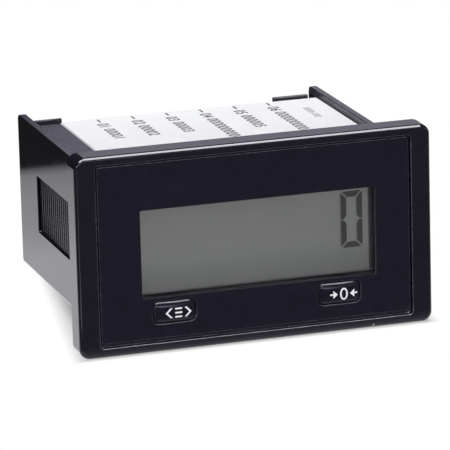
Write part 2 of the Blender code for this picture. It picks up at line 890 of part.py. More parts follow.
def make_crystal(half, low, high):
    """Makes the timing crystal, a small can that lies along the display board."""
    end_x = half * (2 * crystal_place_shares[0] - 1)
    centre = (display_board_back + clearance + crystal_radius, low + (high - low) * crystal_place_shares[1])
    profile = [(end_x, crystal_radius), (end_x + crystal_length - crystal_radius / 2, crystal_radius),
               (end_x + crystal_length, crystal_radius / 2)]
    bm = bmesh.new()
    add_turned(bm, centre, profile, "x", small_round_sides)
    can = make("crystal", bm, "steel", smooth=True)
    bm = bmesh.new()
    for side in (-1, 1):
        middle = centre[1] + side * crystal_radius / 2
        add_box(bm, (end_x - crystal_lead_length, end_x + crystal_lead_width),
                (centre[0] - crystal_lead_width / 2, centre[0] + crystal_lead_width / 2),
                (middle - crystal_lead_width / 2, middle + crystal_lead_width / 2))
    join(can, "leads", bm)


def header_pins_x():
    """Returns the middle of each header pin along X."""
    centre = main_board_half_width * (2 * header_centre_share - 1)
    return [centre + header_pitch * (index - (header_pin_count - 1) / 2) for index in range(header_pin_count)]


def header_row():
    """Returns the depth of the header's upright pins in the main board."""
    return main_board_front + header_gap + header_depth / 2


def header_level():
    """Returns the level of the header's forward pins in the display board."""
    return main_board_top + header_rise


def header_hole_shape(axis):
    """Returns the header's holes through the board that lies across an axis."""
    bm = bmesh.new()
    reach = header_pin_width / 2 + clearance
    for middle in header_pins_x():
        x_ends = (middle - reach, middle + reach)
        if axis == "y":
            add_box(bm, x_ends, (display_board_front - overrun, display_board_back + overrun),
                    (header_level() - reach, header_level() + reach))
        else:
            add_box(bm, x_ends, (header_row() - reach, header_row() + reach),
                    (main_board_bottom - overrun, main_board_top + overrun))
    return bm


def make_header():
    """Makes the right-angle pin header that carries the signals between the boards."""
    pins = header_pins_x()
    bottom = seat_level
    front = header_row() - header_depth / 2
    bm = bmesh.new()
    add_box(bm, (pins[0] - header_pitch / 2, pins[-1] + header_pitch / 2), (front, front + header_depth),
            (bottom, bottom + header_height + header_pin_width))
    header = make("board_header", bm, "component_black")
    half = header_pin_width / 2
    level = header_level()
    bm = bmesh.new()
    for middle in pins:
        outline = [
            (display_board_front, level - half),
            (header_row() - half, level - half),
            (header_row() - half, main_board_bottom - header_pin_stub),
            (header_row() + half, main_board_bottom - header_pin_stub),
            (header_row() + half, level + half),
            (display_board_front, level + half),
        ]
        add_prism(bm, outline, "x", middle - half, middle + half)
    join(header, "pins", bm)


def make_main_board():
    """Makes the flat board that carries the battery, the inputs and the terminal block."""
    half = main_board_half_width
    bm = bmesh.new()
    add_box(bm, (-half, half), (main_board_front, main_board_back), (main_board_bottom, main_board_top))
    board = make("main_board", bm, "circuit_board")
    cut(board, "header_holes", header_hole_shape("z"))
    bm = bmesh.new()
    reach = contact_width / 2 + clearance
    for centre in terminal_centres():
        add_box(bm, (centre - reach, centre + reach), (leg_front - clearance, leg_back + clearance),
                (main_board_bottom - overrun, main_board_top + overrun))
    cut(board, "contact_slots", bm)


def make_battery():
    """Makes the flat lithium cell and the two tabs that solder it to the main board."""
    reach = battery_radius + tab_overhang
    across = battery_side_gap + reach - main_board_half_width
    centre = (across, on_main_board((0, battery_depth_share))[1])
    bottom = seat_level + tab_thickness + clearance
    top = bottom + battery_height
    edge = battery_edge_radius
    profile = [(bottom, battery_radius - edge), (bottom + edge, battery_radius),
               (top - edge, battery_radius), (top, battery_radius - edge)]
    bm = bmesh.new()
    add_turned(bm, centre, profile, "z", 2 * round_sides)
    make("battery", bm, "tin_plate", smooth=True)

    half = tab_width / 2
    y_ends = (centre[1] - half, centre[1] + half)
    bm = bmesh.new()
    add_box(bm, (centre[0] + half, centre[0] + reach), y_ends, (seat_level, seat_level + tab_thickness))
    make("battery_lower_tab", bm, "tin_plate")
    over = top + clearance
    post = centre[0] - reach
    outline = [
        (post, seat_level),
        (post + tab_thickness, seat_level),
        (post + tab_thickness, over),
        (centre[0] - half, over),
        (centre[0] - half, over + tab_thickness),
        (post, over + tab_thickness),
    ]
    bm = bmesh.new()
    add_prism(bm, outline, "y", y_ends[0], y_ends[1])
    make("battery_upper_tab", bm, "tin_plate")


def make_capacitors():
    """Makes the electrolytic capacitors, each with the groove of its crimped can."""
    bottom = seat_level
    groove = bottom + capacitor_radius / 2
    small = capacitor_radius - capacitor_groove
    profile = [(bottom, small), (bottom + capacitor_groove, capacitor_radius),
               (groove - capacitor_groove, capacitor_radius), (groove, small),
               (groove + capacitor_groove, capacitor_radius),
               (bottom + capacitor_height - capacitor_groove, capacitor_radius),
               (bottom + capacitor_height, small)]
    for number, shares in enumerate(capacitor_place_shares, 1):
        bm = bmesh.new()
        add_turned(bm, on_main_board(shares), profile, "z", round_sides)
        make(f"capacitor_{number}", bm, "component_black", smooth=True)


def make_coupler(number, shares):
    """Makes one input optocoupler on its four leads."""
    across, along = on_main_board(shares)
    bottom = seat_level + coupler_standoff
    knee = bottom + coupler_height / 2
    half = coupler_width / 2
    bm = bmesh.new()
    add_box(bm, (across - half, across + half), (along - coupler_length / 2, along + coupler_length / 2),
            (bottom, bottom + coupler_height))
    coupler = make(f"optocoupler_{number}", bm, "component_black")
    bm = bmesh.new()
    for side in (-1, 1):
        foot = half + coupler_lead_reach
        outline = [
            (across + side * (half - coupler_lead_width), knee),
            (across + side * foot, knee),
            (across + side * foot, seat_level),
            (across + side * (foot - coupler_lead_width / 2), seat_level),
            (across + side * (foot - coupler_lead_width / 2), knee - coupler_lead_width),
            (across + side * (half - coupler_lead_width), knee - coupler_lead_width),
        ]
        for row in (-1, 1):
            middle = along + row * coupler_lead_spacing / 2
            add_prism(bm, outline, "y", middle - coupler_lead_width / 2, middle + coupler_lead_width / 2)
    join(coupler, "leads", bm)


def make_resistor(number, shares):
    """Makes one axial input resistor with its bent leads."""
    across, along = on_main_board(shares)
    level = seat_level + resistor_standoff + resistor_radius
    half = resistor_lead_width / 2
    neck = resistor_radius / 2
    start = across - resistor_length / 2
    end = across + resistor_length / 2
    profile = [(start, neck), (start + neck, resistor_radius), (end - neck, resistor_radius), (end, neck)]
    bm = bmesh.new()
    add_turned(bm, (along, level), profile, "x", small_round_sides)
    resistor = make(f"resistor_{number}", bm, "component_tan", smooth=True)
    left = across - resistor_span / 2
    right = across + resistor_span / 2
    outline = [
        (left, seat_level),
        (left + resistor_lead_width, seat_level),
        (left + resistor_lead_width, level - half),
        (right - resistor_lead_width, level - half),
        (right - resistor_lead_width, seat_level),
        (right, seat_level),
        (right, level + half),
        (left, level + half),
    ]
    bm = bmesh.new()
    add_prism(bm, outline, "y", along - half, along + half)
    join(resistor, "leads", bm)


# Terminals

def make_terminal_block():
    """Makes the block: a chamber, a screw well, a wire entry and a contact slot for each terminal."""
    bm = bmesh.new()
    add_box(bm, block_ends(), (block_front, block_back), (block_bottom, block_top))
    block = make("terminal_block", bm, "terminal_black")
    chambers, wells, throats, entries, slots = (bmesh.new() for _ in range(5))
    for centre in terminal_centres():
        half = chamber_width / 2
        add_box(chambers, (centre - half, centre + half), (chamber_front, chamber_back),
                (chamber_bottom, chamber_top))
        add_cylinder(wells, (centre, screw_depth), head_radius + head_gap, "z", ledge_top,
                     block_top + overrun, round_sides)
        add_cylinder(throats, (centre, screw_depth), shank_radius + shank_gap, "z",
                     chamber_top - clearance, ledge_top + clearance, round_sides)
        half = wire_entry_width / 2
        add_box(entries, (centre - half, centre + half), (chamber_back - clearance, block_back + overrun),
                (cage_bottom + cage_floor, contact_bottom))
        half = contact_width / 2 + clearance
        add_box(slots, (centre - half, centre + half), (leg_front - clearance, chamber_front + clearance),
                (block_bottom - overrun, contact_top + clearance))
    cut(block, "chambers", chambers)
    cut(block, "wells", wells)
    cut(block, "throats", throats)
    cut(block, "wire_entries", entries)
    cut(block, "contact_slots", slots)


def make_contact(number, centre):
    """Makes one fixed contact: a tongue inside the clamp and a pin down through the board."""
    outline = [
        (leg_front, main_board_bottom - contact_pin_length),
        (leg_back, main_board_bottom - contact_pin_length),
        (leg_back, contact_bottom),
        (chamber_back - clearance, contact_bottom),
        (chamber_back - clearance, contact_top),
        (leg_front, contact_top),
    ]
    bm = bmesh.new()
    add_prism(bm, outline, "x", centre - contact_width / 2, centre + contact_width / 2)
    make(f"terminal_contact_{number}", bm, "tin_plate")


def make_terminal_screw(number, centre):
    """Makes one slotted terminal screw about its own axis."""
    head_top = head_bottom + head_height
    profile = [(shank_tip, shank_radius - shank_tip_chamfer), (shank_tip + shank_tip_chamfer, shank_radius),
               (head_bottom, shank_radius), (head_bottom, head_radius),
               (head_top - shank_tip_chamfer, head_radius), (head_top, head_radius - shank_tip_chamfer)]
    bm = bmesh.new()
    add_turned(bm, (centre, screw_depth), profile, "z", round_sides)
    screw = make(f"terminal_screw_{number}", bm, "steel", (centre, screw_depth, head_bottom), smooth=True)
    bm = bmesh.new()
    reach = head_radius + overrun
    add_box(bm, (centre - reach, centre + reach),
            (screw_depth - head_slot_width / 2, screw_depth + head_slot_width / 2),
            (head_top - head_slot_depth, head_top + overrun))
    cut(screw, "slot", bm)


def make_clamp_cage(number, centre):
    """Makes one rising clamp: a square frame round the contact with a nut across its top."""
    half = chamber_width / 2 - clearance
    length = chamber_depth / 2 - clearance
    bm = bmesh.new()
    add_box(bm, (centre - half, centre + half), (screw_depth - length, screw_depth + length),
            (cage_bottom, cage_bottom + cage_height))
    cage = make(f"clamp_cage_{number}", bm, "brass", (centre, screw_depth, cage_bottom))
    bm = bmesh.new()
    inside = half - cage_side
    reach = length + overrun
    add_box(bm, (centre - inside, centre + inside), (screw_depth - reach, screw_depth + reach),
            (cage_bottom + cage_floor, cage_bottom + cage_floor + cage_opening))
    cut(cage, "opening", bm)
    bm = bmesh.new()
    add_cylinder(bm, (centre, screw_depth), shank_radius + shank_gap, "z",
                 cage_bottom + cage_floor + cage_opening / 2, cage_bottom + cage_height + overrun, round_sides)
    cut(cage, "thread_hole", bm)


# Rear cover and label

def make_rear_cover():
    """Makes the snap-in cover: rear plate, shelf beside the block, riser with two lips, and tongues."""
    half = main_board_half_width
    bottom = floor_top + clearance
    riser_top = deck - riser_drop
    outline = [
        (cover_front, bottom),
        (cover_back, bottom),
        (cover_back, block_top),
        (riser_back, block_top),
        (riser_back, riser_top),
        (riser_front, riser_top),
        (riser_front, block_top - cover_shelf),
        (cover_front, block_top - cover_shelf),
    ]
    bm = bmesh.new()
    add_prism(bm, outline, "x", -half, half)
    cover = make("rear_cover", bm, "gloss_black")

    left, right = block_ends()
    bm = bmesh.new()
    add_box(bm, (left - clearance, right + clearance), (riser_front - overrun, cover_back + overrun),
            (block_bottom - clearance, block_top + clearance))
    cut(cover, "block_notch", bm)

    lip_left = -inner_half_width + lip_left_gap
    lip_right = inner_half_width - lip_right_gap
    bm = bmesh.new()
    for ends in ((lip_left, lip_left + lip_left_length), (lip_right - lip_right_length, lip_right)):
        add_box(bm, ends, (riser_front, riser_back), (riser_top - riser_drop, deck + lip_rise))
    join(cover, "lips", bm)

    barb_end = tongue_front + barb_length
    outline = [
        (tongue_front, bottom),
        (barb_end, flange_bottom + barb_cover),
        (barb_end, bottom),
        (cover_front + cover_thickness / 2, bottom),
        (cover_front + cover_thickness / 2, bottom + tongue_thickness),
        (tongue_front, bottom + tongue_thickness),
    ]
    bm = bmesh.new()
    for side in (-1, 1):
        centre = side * tongue_spacing / 2
        add_prism(bm, outline, "x", centre - tongue_width / 2, centre + tongue_width / 2)
    join(cover, "tongues", bm)


def make_label():
    """Makes the wiring label on the deck between the side walls."""
    bottom = deck + label_lift
    bm = bmesh.new()
    add_box(bm, (-inner_half_width + label_left_gap, inner_half_width - label_right_gap),
            (bezel_thickness + label_front_gap, deck_end - label_rear_gap), (bottom, bottom + label_thickness))
    make("top_label", bm, "label_white")


def main():
    """Builds the counter at rest."""
    clear_scene()
    make_housing()
    make_overlay()
    for name, centre in zip(("select", "reset"), key_centres()):
        make_key(f"{name}_key", centre)
        make_switch(name, centre)
    make_display()
    make_display_frame()
    make_display_board()
    make_header()
    make_main_board()
    make_battery()
    make_capacitors()
    for number, shares in enumerate(coupler_place_shares, 1):
        make_coupler(number, shares)
    for number, shares in enumerate(resistor_place_shares, 1):
        make_resistor(number, shares)
    make_terminal_block()
    for number, centre in enumerate(terminal_centres(), 1):
        make_contact(number, centre)
        make_terminal_screw(number, centre)
        make_clamp_cage(number, centre)
    make_rear_cover()
    make_label()


main()
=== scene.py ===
"""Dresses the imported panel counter: fine forms, finishes, print and a small photo studio.

Lengths are metres in the CAD frame: X to the right as the face is read, Y from the face back to the
terminals, Z up from the bezel's lower edge. A depth is counted from the bezel's face, as in the CAD source.
"""

import json
import logging
import math
from dataclasses import dataclass
from enum import Enum
from functools import cache, partial, reduce

import bmesh
import bpy
from mathutils import Matrix, Vector

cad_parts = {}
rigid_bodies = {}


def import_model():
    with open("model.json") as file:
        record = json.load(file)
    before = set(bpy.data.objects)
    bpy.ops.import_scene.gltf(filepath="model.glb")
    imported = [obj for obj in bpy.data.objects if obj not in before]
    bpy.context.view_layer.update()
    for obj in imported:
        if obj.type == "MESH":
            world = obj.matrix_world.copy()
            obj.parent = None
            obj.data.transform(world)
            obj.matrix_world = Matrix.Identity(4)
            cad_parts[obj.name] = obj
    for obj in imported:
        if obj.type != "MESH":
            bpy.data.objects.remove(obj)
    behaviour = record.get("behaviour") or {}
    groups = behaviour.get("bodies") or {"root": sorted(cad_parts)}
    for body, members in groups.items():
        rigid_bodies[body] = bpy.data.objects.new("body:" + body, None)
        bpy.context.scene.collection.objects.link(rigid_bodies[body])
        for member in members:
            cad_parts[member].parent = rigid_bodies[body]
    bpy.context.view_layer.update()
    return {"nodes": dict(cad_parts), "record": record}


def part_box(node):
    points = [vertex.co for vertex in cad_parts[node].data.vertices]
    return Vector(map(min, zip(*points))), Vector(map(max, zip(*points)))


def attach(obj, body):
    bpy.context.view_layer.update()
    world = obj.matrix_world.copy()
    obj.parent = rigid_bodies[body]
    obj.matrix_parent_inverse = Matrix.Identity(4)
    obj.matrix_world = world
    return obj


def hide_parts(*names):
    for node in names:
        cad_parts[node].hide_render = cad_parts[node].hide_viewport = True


LOG = logging.getLogger("panel_counter")
MM = 0.001
FIXED = "counter_body"
SHARP_ANGLE = math.radians(38)
OVERRUN = 1.0 * MM
CLEARANCE = 0.3 * MM
NEAR = 0.1 * MM
FLAT_WIDTH = 0.3 * MM
QUARTER = math.pi / 2
WHOLE = 2 * math.pi
KEY_OFFSET = 17.8 * MM

# The terminals' count, and their pitch and shift to the right in millimetres
TERMINALS = 6
TERMINAL_PITCH = 7.62
TERMINAL_SHIFT = 0.9

# How much of a face's normal lies along an axis
FLAT_LEAN = 0.9998
LEVEL_LEAN = 0.99
FACE_LEAN = 0.98
CUT_LEAN = 0.95
WALL_LEAN = 0.9
SIDE_LEAN = 0.5
PANE_LEAN = 0.3

Point = tuple[float, float]
Place = tuple[float, float, float]
Colour = tuple[float, float, float]
Outline = list[Point]
Piece = bpy.types.Object
Socket = bpy.types.NodeSocket
Sockets = bpy.types.bpy_prop_collection


class Axis(Enum):
    """The axis that a form is drawn along, as its number."""

    X = 0
    Y = 1
    Z = 2


class Join(Enum):
    """How a tool shape acts on a piece."""

    CUT = "DIFFERENCE"
    ADD = "UNION"


# Outlines and forms

def mm(*lengths: float) -> tuple[float, ...]:
    """Returns millimetres as metres."""
    return tuple(length * MM for length in lengths)


def span(low: float, high: float, steps: int) -> list[float]:
    """Returns evenly spaced values from low to high, both included."""
    return [low + (high - low) * step / steps for step in range(steps + 1)]


def about(centre: float, half: float) -> Point:
    """Returns the two ends that lie half a width to either side of a centre."""
    return centre - half, centre + half


def rectangle(low: Point, high: Point) -> Outline:
    """Returns the four corners between two opposite ones."""
    return [(low[0], low[1]), (high[0], low[1]), (high[0], high[1]), (low[0], high[1])]


def arc(centre: Point, radius: float, start: float, end: float, steps: int) -> Outline:
    """Returns an arc's points between two angles in radians, both ends included, with steps as chords."""
    return [(centre[0] + radius * math.cos(turn), centre[1] + radius * math.sin(turn))
            for turn in span(start, end, steps)]


def ring(centre: Point, radius: float, sides: int) -> Outline:
    """Returns a regular polygon's points on a circle."""
    return arc(centre, radius, 0, WHOLE, sides)[:-1]


def rounded(low: Point, high: Point, radius: float, steps: int = 10) -> Outline:
    """Rounds a rectangle's corners.

    Args:
        low: Lowest corner.
        high: Highest corner.
        radius: Corner radius, limited by half a side.
        steps: Chords in each corner.

    Returns:
        The outline, anticlockwise.
    """
    reach = min(radius, (high[0] - low[0]) / 2, (high[1] - low[1]) / 2)
    centres = rectangle((low[0] + reach, low[1] + reach), (high[0] - reach, high[1] - reach))
    outline: Outline = []
    for quarter, centre in enumerate(centres[2:] + centres[:2]):
        outline += arc(centre, reach, quarter * QUARTER, quarter * QUARTER + QUARTER, steps)
    return outline


def drawn_in(low: Point, high: Point, radius: float, inset: float, steps: int = 10) -> Outline:
    """Returns a rounded rectangle drawn in on all sides, its corners kept round."""
    small, large = (low[0] + inset, low[1] + inset), (high[0] - inset, high[1] - inset)
    return rounded(small, large, max(radius - inset, radius / 10), steps)


def placed(outline: Outline, axis: Axis, level: float) -> list[Place]:
    """Puts an outline, drawn in the order of the other two axes, at one level of an axis."""
    return [(*point[:axis.value], level, *point[axis.value:]) for point in outline]


def put(name: str, data: bpy.types.ID) -> Piece:
    """Puts data into the scene.

    Args:
        name: The object's name.
        data: What it holds, such as a mesh or a lamp.

    Returns:
        The new object, at the origin.
    """
    made = bpy.data.objects.new(name, data)
    bpy.context.scene.collection.objects.link(made)
    return made


class Form:
    """A closed mesh under construction, in the row frame, that can also serve as a tool shape."""

    def __init__(self, join: Join = Join.CUT) -> None:
        """Starts with nothing in it.

        Args:
            join: How it acts on a piece when it serves as a tool.
        """
        self.mesh = bmesh.new()
        self.join = join

    def loft(self, loops: list[list[Place]]) -> "Form":
        """Skins a stack of loops with equal counts and caps both ends.

        Args:
            loops: The loops in order.

        Returns:
            The form itself.
        """
        rows = [[self.mesh.verts.new(point) for point in loop] for loop in loops]
        count = len(rows[0])
        for low, high in zip(rows, rows[1:]):
            for here in range(count):
                after = (here + 1) % count
                self.mesh.faces.new((low[here], low[after], high[after], high[here]))
        self.mesh.faces.new(rows[0])
        self.mesh.faces.new(rows[-1])
        return self

    def prism(self, outline: Outline, axis: Axis, *ends: float) -> "Form":
        """Draws an outline along an axis between two ends."""
        return self.loft([placed(outline, axis, level) for level in ends])

    def box(self, x_ends: Point, y_ends: Point, z_ends: Point) -> "Form":
        """Adds a box between two values on each axis."""
        return self.prism(rectangle((x_ends[0], z_ends[0]), (x_ends[1], z_ends[1])), Axis.Y, *y_ends)

    def turned(self, centre: Point, profile: list[Point], sides: int) -> "Form":
        """Turns a profile of level and radius pairs about an upright axis."""
        return self.loft([placed(ring(centre, radius, sides), Axis.Z, level) for level, radius in profile])

    def piece(self, name: str) -> Piece:
        """Turns the form into an object and uses it up.

        Args:
            name: The piece's name.

        Returns:
            The new object, at the origin.
        """
        bmesh.ops.recalc_face_normals(self.mesh, faces=self.mesh.faces)
        mesh = bpy.data.meshes.new(name)
        self.mesh.to_mesh(mesh)
        self.mesh.free()
        return put(name, mesh)


def change(piece: Piece, kind: str, **settings: object) -> bpy.types.Modifier:
    """Puts a modifier on a piece.

    Args:
        piece: The piece.
        kind: Blender's name of the modifier type.
        settings: Attributes of the modifier.

    Returns:
        The modifier.
    """
    modifier = piece.modifiers.new(kind.lower(), kind)
    for name, value in settings.items():
        setattr(modifier, name, value)
    return modifier


def evaluated(piece: Piece, **options: bool) -> bpy.types.Mesh:
    """Works out an object's modifiers.

    Args:
        piece: The object.
        options: What else new_from_object is told.

    Returns:
        The mesh that it has after them.
    """
    bpy.context.view_layer.update()
    graph = bpy.context.evaluated_depsgraph_get()
    return bpy.data.meshes.new_from_object(piece.evaluated_get(graph), depsgraph=graph, **options)


def bake(piece: Piece) -> None:
    """Turns a piece and its modifiers into a plain mesh.

    Args:
        piece: The piece that changes.
    """
    solid, before = evaluated(piece, preserve_all_data_layers=True), piece.data
    piece.modifiers.clear()
    piece.data = solid
    bpy.data.meshes.remove(before)
    solid.name = piece.name


def shape(piece: Piece, tool: Form) -> None:
    """Cuts a tool shape from a piece or adds it on.

    Args:
        piece: The piece that changes.
        tool: The shape, used up here.
    """
    helper = tool.piece("tool_shape")
    change(piece, "BOOLEAN", operation=tool.join.value, solver="EXACT", object=helper)
    bake(piece)
    bpy.data.objects.remove(helper, do_unlink=True)


def soften(piece: Piece, width: float) -> None:
    """Rounds a piece's sharp edges a little and gives it smooth, weighted normals, flat on its flats.

    Args:
        piece: The piece that changes.
        width: Width of the rounding.
    """
    piece.data.shade_smooth()
    change(piece, "BEVEL", width=width, segments=2, limit_method="ANGLE", angle_limit=SHARP_ANGLE,
           use_clamp_overlap=False, loop_slide=False, miter_outer="MITER_ARC")
    change(piece, "WEIGHTED_NORMAL", weight=100)
    bake(piece)
    mesh = piece.data
    normals = [Vector(corner.vector) for corner in mesh.corner_normals]
    for face in mesh.polygons:
        corners = [mesh.vertices[index].co for index in face.vertices]
        rim = sum((here - after).length for here, after in zip(corners, corners[1:] + corners[:1]))
        if face.area > FLAT_WIDTH * rim or max(map(abs, face.normal)) > FLAT_LEAN:
            face.use_smooth = False
            for corner in face.loop_indices:
                normals[corner] = face.normal.copy()
    mesh.normals_split_custom_set(normals)


# Shader nodes

class NodeSheet:
    """A node tree that is filled by node kind and input name."""

    def __init__(self, tree: bpy.types.NodeTree) -> None:
        """Keeps the tree to fill."""
        self.tree = tree

    def feed(self, node: bpy.types.Node | str, inputs: dict) -> None:
        """Sets or links a node's inputs.

        Args:
            node: The node or its name.
            inputs: Values or output sockets by input name or number.
        """
        fed = self.tree.nodes[node] if isinstance(node, str) else node
        for key, value in inputs.items():
            if isinstance(value, Socket):
                self.tree.links.new(value, fed.inputs[key])
            else:
                fed.inputs[key].default_value = value

    def add(self, kind: str, inputs: dict | None = None, **settings: object) -> Sockets:
        """Adds a node, sets its options and feeds its inputs.

        Args:
            kind: Blender's name of the node type.
            inputs: Values or output sockets by input name or number.
            settings: Attributes of the node.

        Returns:
            Its outputs.
        """
        node = self.tree.nodes.new(kind)
        for name, value in settings.items():
            setattr(node, name, value)
        self.feed(node, inputs or {})
        return node.outputs

    def shared(self, group: bpy.types.NodeTree, **inputs: object) -> Sockets:
        """Places a shared group, feeds it and returns its outputs."""
        return self.add("ShaderNodeGroup", inputs, node_tree=group)

    def maths(self, operation: str, *terms: object) -> Socket:
        """Returns the result of one maths operation on sockets or numbers."""
        return self.add("ShaderNodeMath", dict(enumerate(terms)), operation=operation)[0]

    def fold(self, operation: str, *terms: object) -> Socket:
        """Returns the result of one operation carried through all the terms."""
        return reduce(partial(self.maths, operation), terms)

    def spread(self, value: Socket, source: Point, target: Point = (0.0, 1.0),
               smooth: bool = False) -> Socket:
        """Maps a value from one range onto another, held and, where it is smooth, eased at both ends."""
        return self.add("ShaderNodeMapRange", dict(enumerate((value, *source, *target))),
                        interpolation_type="SMOOTHSTEP" if smooth else "LINEAR")[0]

    def between(self, value: Socket, low: float, high: float, soft: float) -> Socket:
        """Makes a mask that is 1 between two values and fades out softly beyond both.

        Args:
            value: The value.
            low: Lower end, at half strength.
            high: Upper end, at half strength.
            soft: Half the width of each fade.

        Returns:
            The mask.
        """
        rise = self.spread(value, about(low, soft), smooth=True)
        return self.maths("MULTIPLY", rise, self.spread(value, about(high, soft), (1.0, 0.0), smooth=True))

    def steps(self, value: Socket, stops: list[Point]) -> Socket:
        """Draws a curve through stops, straight between them.

        Args:
            value: The place on the curve, within 0 to 1.
            stops: Places and levels, each within 0 to 1.

        Returns:
            The level at the place.
        """
        outputs = self.add("ShaderNodeValToRGB", {0: value})
        band = self.tree.nodes[-1].color_ramp
        while len(band.elements) < len(stops):
            band.elements.new(0.5)
        for element, (place, level) in zip(band.elements, stops):
            element.position = place
            element.color = (level, level, level, 1.0)
        return outputs[0]

    def blend(self, share: Socket, first: object, second: object) -> Socket:
        """Mixes two colours, given as sockets or values, by the second one's share."""
        first, second = ((*value, 1.0) if isinstance(value, tuple) else value for value in (first, second))
        return self.add("ShaderNodeMix", {0: share, 6: first, 7: second}, data_type="RGBA")[2]

    def mix(self, share: Socket, first: Socket, second: Socket) -> Socket:
        """Mixes two shaders by the second one's share."""
        return self.add("ShaderNodeMixShader", {0: share, 1: first, 2: second})[0]

    def bump(self, height: Socket, depth: float) -> Socket:
        """Returns the normal of a surface with a height map of a given depth."""
        return self.add("ShaderNodeBump", {"Distance": depth, "Height": height})[0]

    def place(self) -> Socket:
        """Returns the object coordinates, which are the row frame's metres."""
        return self.add("ShaderNodeTexCoord")["Object"]

    def split(self, vector: Socket) -> Sockets:
        """Returns a vector's three parts."""
        return self.add("ShaderNodeSeparateXYZ", {0: vector})

    def shown(self, path: Sockets) -> Socket:
        """Returns 1 where the camera sees a surface itself or through a pane."""
        rays = self.maths("ADD", path["Is Camera Ray"], path["Is Transmission Ray"])
        return self.maths("MINIMUM", rays, 1.0)


def new_group(name: str, inputs: dict[str, float | None], *outputs: str) -> tuple[NodeSheet, Sockets]:
    """Starts a shader node group with named sockets.

    Args:
        name: The group's name.
        inputs: Default by input name; None makes it a vector.
        outputs: Names of the outputs, all numbers.

    Returns:
        Its sheet and what it is given.
    """
    group = bpy.data.node_groups.new(name, "ShaderNodeTree")
    for title, default in inputs.items():
        kind = "NodeSocketVector" if default is None else "NodeSocketFloat"
        socket = group.interface.new_socket(title, in_out="INPUT", socket_type=kind)
        if default is not None:
            socket.default_value = default
    for title in outputs:
        group.interface.new_socket(title, in_out="OUTPUT", socket_type="NodeSocketFloat")
    sheet = NodeSheet(group)
    return sheet, sheet.add("NodeGroupInput")


@cache
def surface_grain() -> bpy.types.NodeTree:
    """Returns the group that gives a moulded or rolled surface its fine unevenness."""
    sheet, given = new_group("surface_grain", {"Vector": None, "Scale": 1000.0}, "Height", "Mottle")
    fine = sheet.add("ShaderNodeTexNoise", {"Vector": given["Vector"], "Scale": given["Scale"],
                                            "Detail": 3.0, "Roughness": 0.6})
    coarse_scale = sheet.maths("MULTIPLY", given["Scale"], 0.11)
    coarse = sheet.add("ShaderNodeTexNoise", {"Vector": given["Vector"], "Scale": coarse_scale,
                                              "Detail": 2.0})
    sheet.add("NodeGroupOutput", {"Height": fine[0], "Mottle": coarse[0]})
    return sheet.tree


@cache
def dust_specks() -> bpy.types.NodeTree:
    """Returns the group that scatters a few pale specks over a surface."""
    sheet, given = new_group("dust_specks", {"Vector": None, "Amount": 0.1}, "Mask")
    cells = sheet.add("ShaderNodeTexVoronoi", {"Vector": given["Vector"], "Scale": 400.0})
    near = sheet.maths("LESS_THAN", cells["Distance"], 0.12)
    lot = sheet.add("ShaderNodeSeparateColor", {0: cells["Color"]})[0]
    chosen = sheet.maths("LESS_THAN", lot, given["Amount"])
    sheet.add("NodeGroupOutput", {"Mask": sheet.maths("MULTIPLY", near, chosen)})
    return sheet.tree


@cache
def edge_wear() -> bpy.types.NodeTree:
    """Returns the group whose mask is high where a surface turns over an edge."""
    sheet, given = new_group("edge_wear", {"Radius": 0.15 * MM}, "Mask")
    turned = sheet.add("ShaderNodeBevel", {"Radius": given["Radius"]}, samples=4)[0]
    facing = sheet.add("ShaderNodeNewGeometry")["Normal"]
    match = sheet.add("ShaderNodeVectorMath", {0: turned, 1: facing}, operation="DOT_PRODUCT")["Value"]
    sheet.add("NodeGroupOutput", {"Mask": sheet.spread(match, (0.999, 0.9))})
    return sheet.tree


# Finishes

MOTTLE = (0.3, 0.7)
DUST = (0.35, 0.35, 0.36)
# Edge colour where the edge mask is high: partly wear, partly a painted highlight along edges
WORN_AND_HIGHLIT = (2.2, 0.05)


@dataclass(frozen=True)
class Finish:
    """A named surface. Each kind feeds a Principled shader in its own way."""

    name: str
    colour: Colour

    def fill(self, sheet: NodeSheet, shader: bpy.types.Node) -> None:
        """Feeds the shader from nodes on the material's sheet.

        Args:
            sheet: The material's sheet.
            shader: Its Principled shader.
        """
        raise NotImplementedError

    def scaled(self, factor: float, lift: float = 0.0) -> Colour:
        """Returns the colour times a factor, lifted by an amount."""
        return tuple(value * factor + lift for value in self.colour)


@cache
def material_of(finish: Finish) -> bpy.types.Material:
    """Builds a finish's material on first use.

    Args:
        finish: The finish.

    Returns:
        Its one material.
    """
    material = bpy.data.materials.new(finish.name)
    material.use_nodes = True
    finish.fill(NodeSheet(material.node_tree), material.node_tree.nodes["Principled BSDF"])
    return material


def dress(piece: Piece, *finishes: Finish) -> None:
    """Puts finishes on a piece.

    Args:
        piece: The piece.
        finishes: Its finishes, in the order of its material indices.
    """
    piece.data.materials.clear()
    for finish in finishes:
        piece.data.materials.append(material_of(finish))


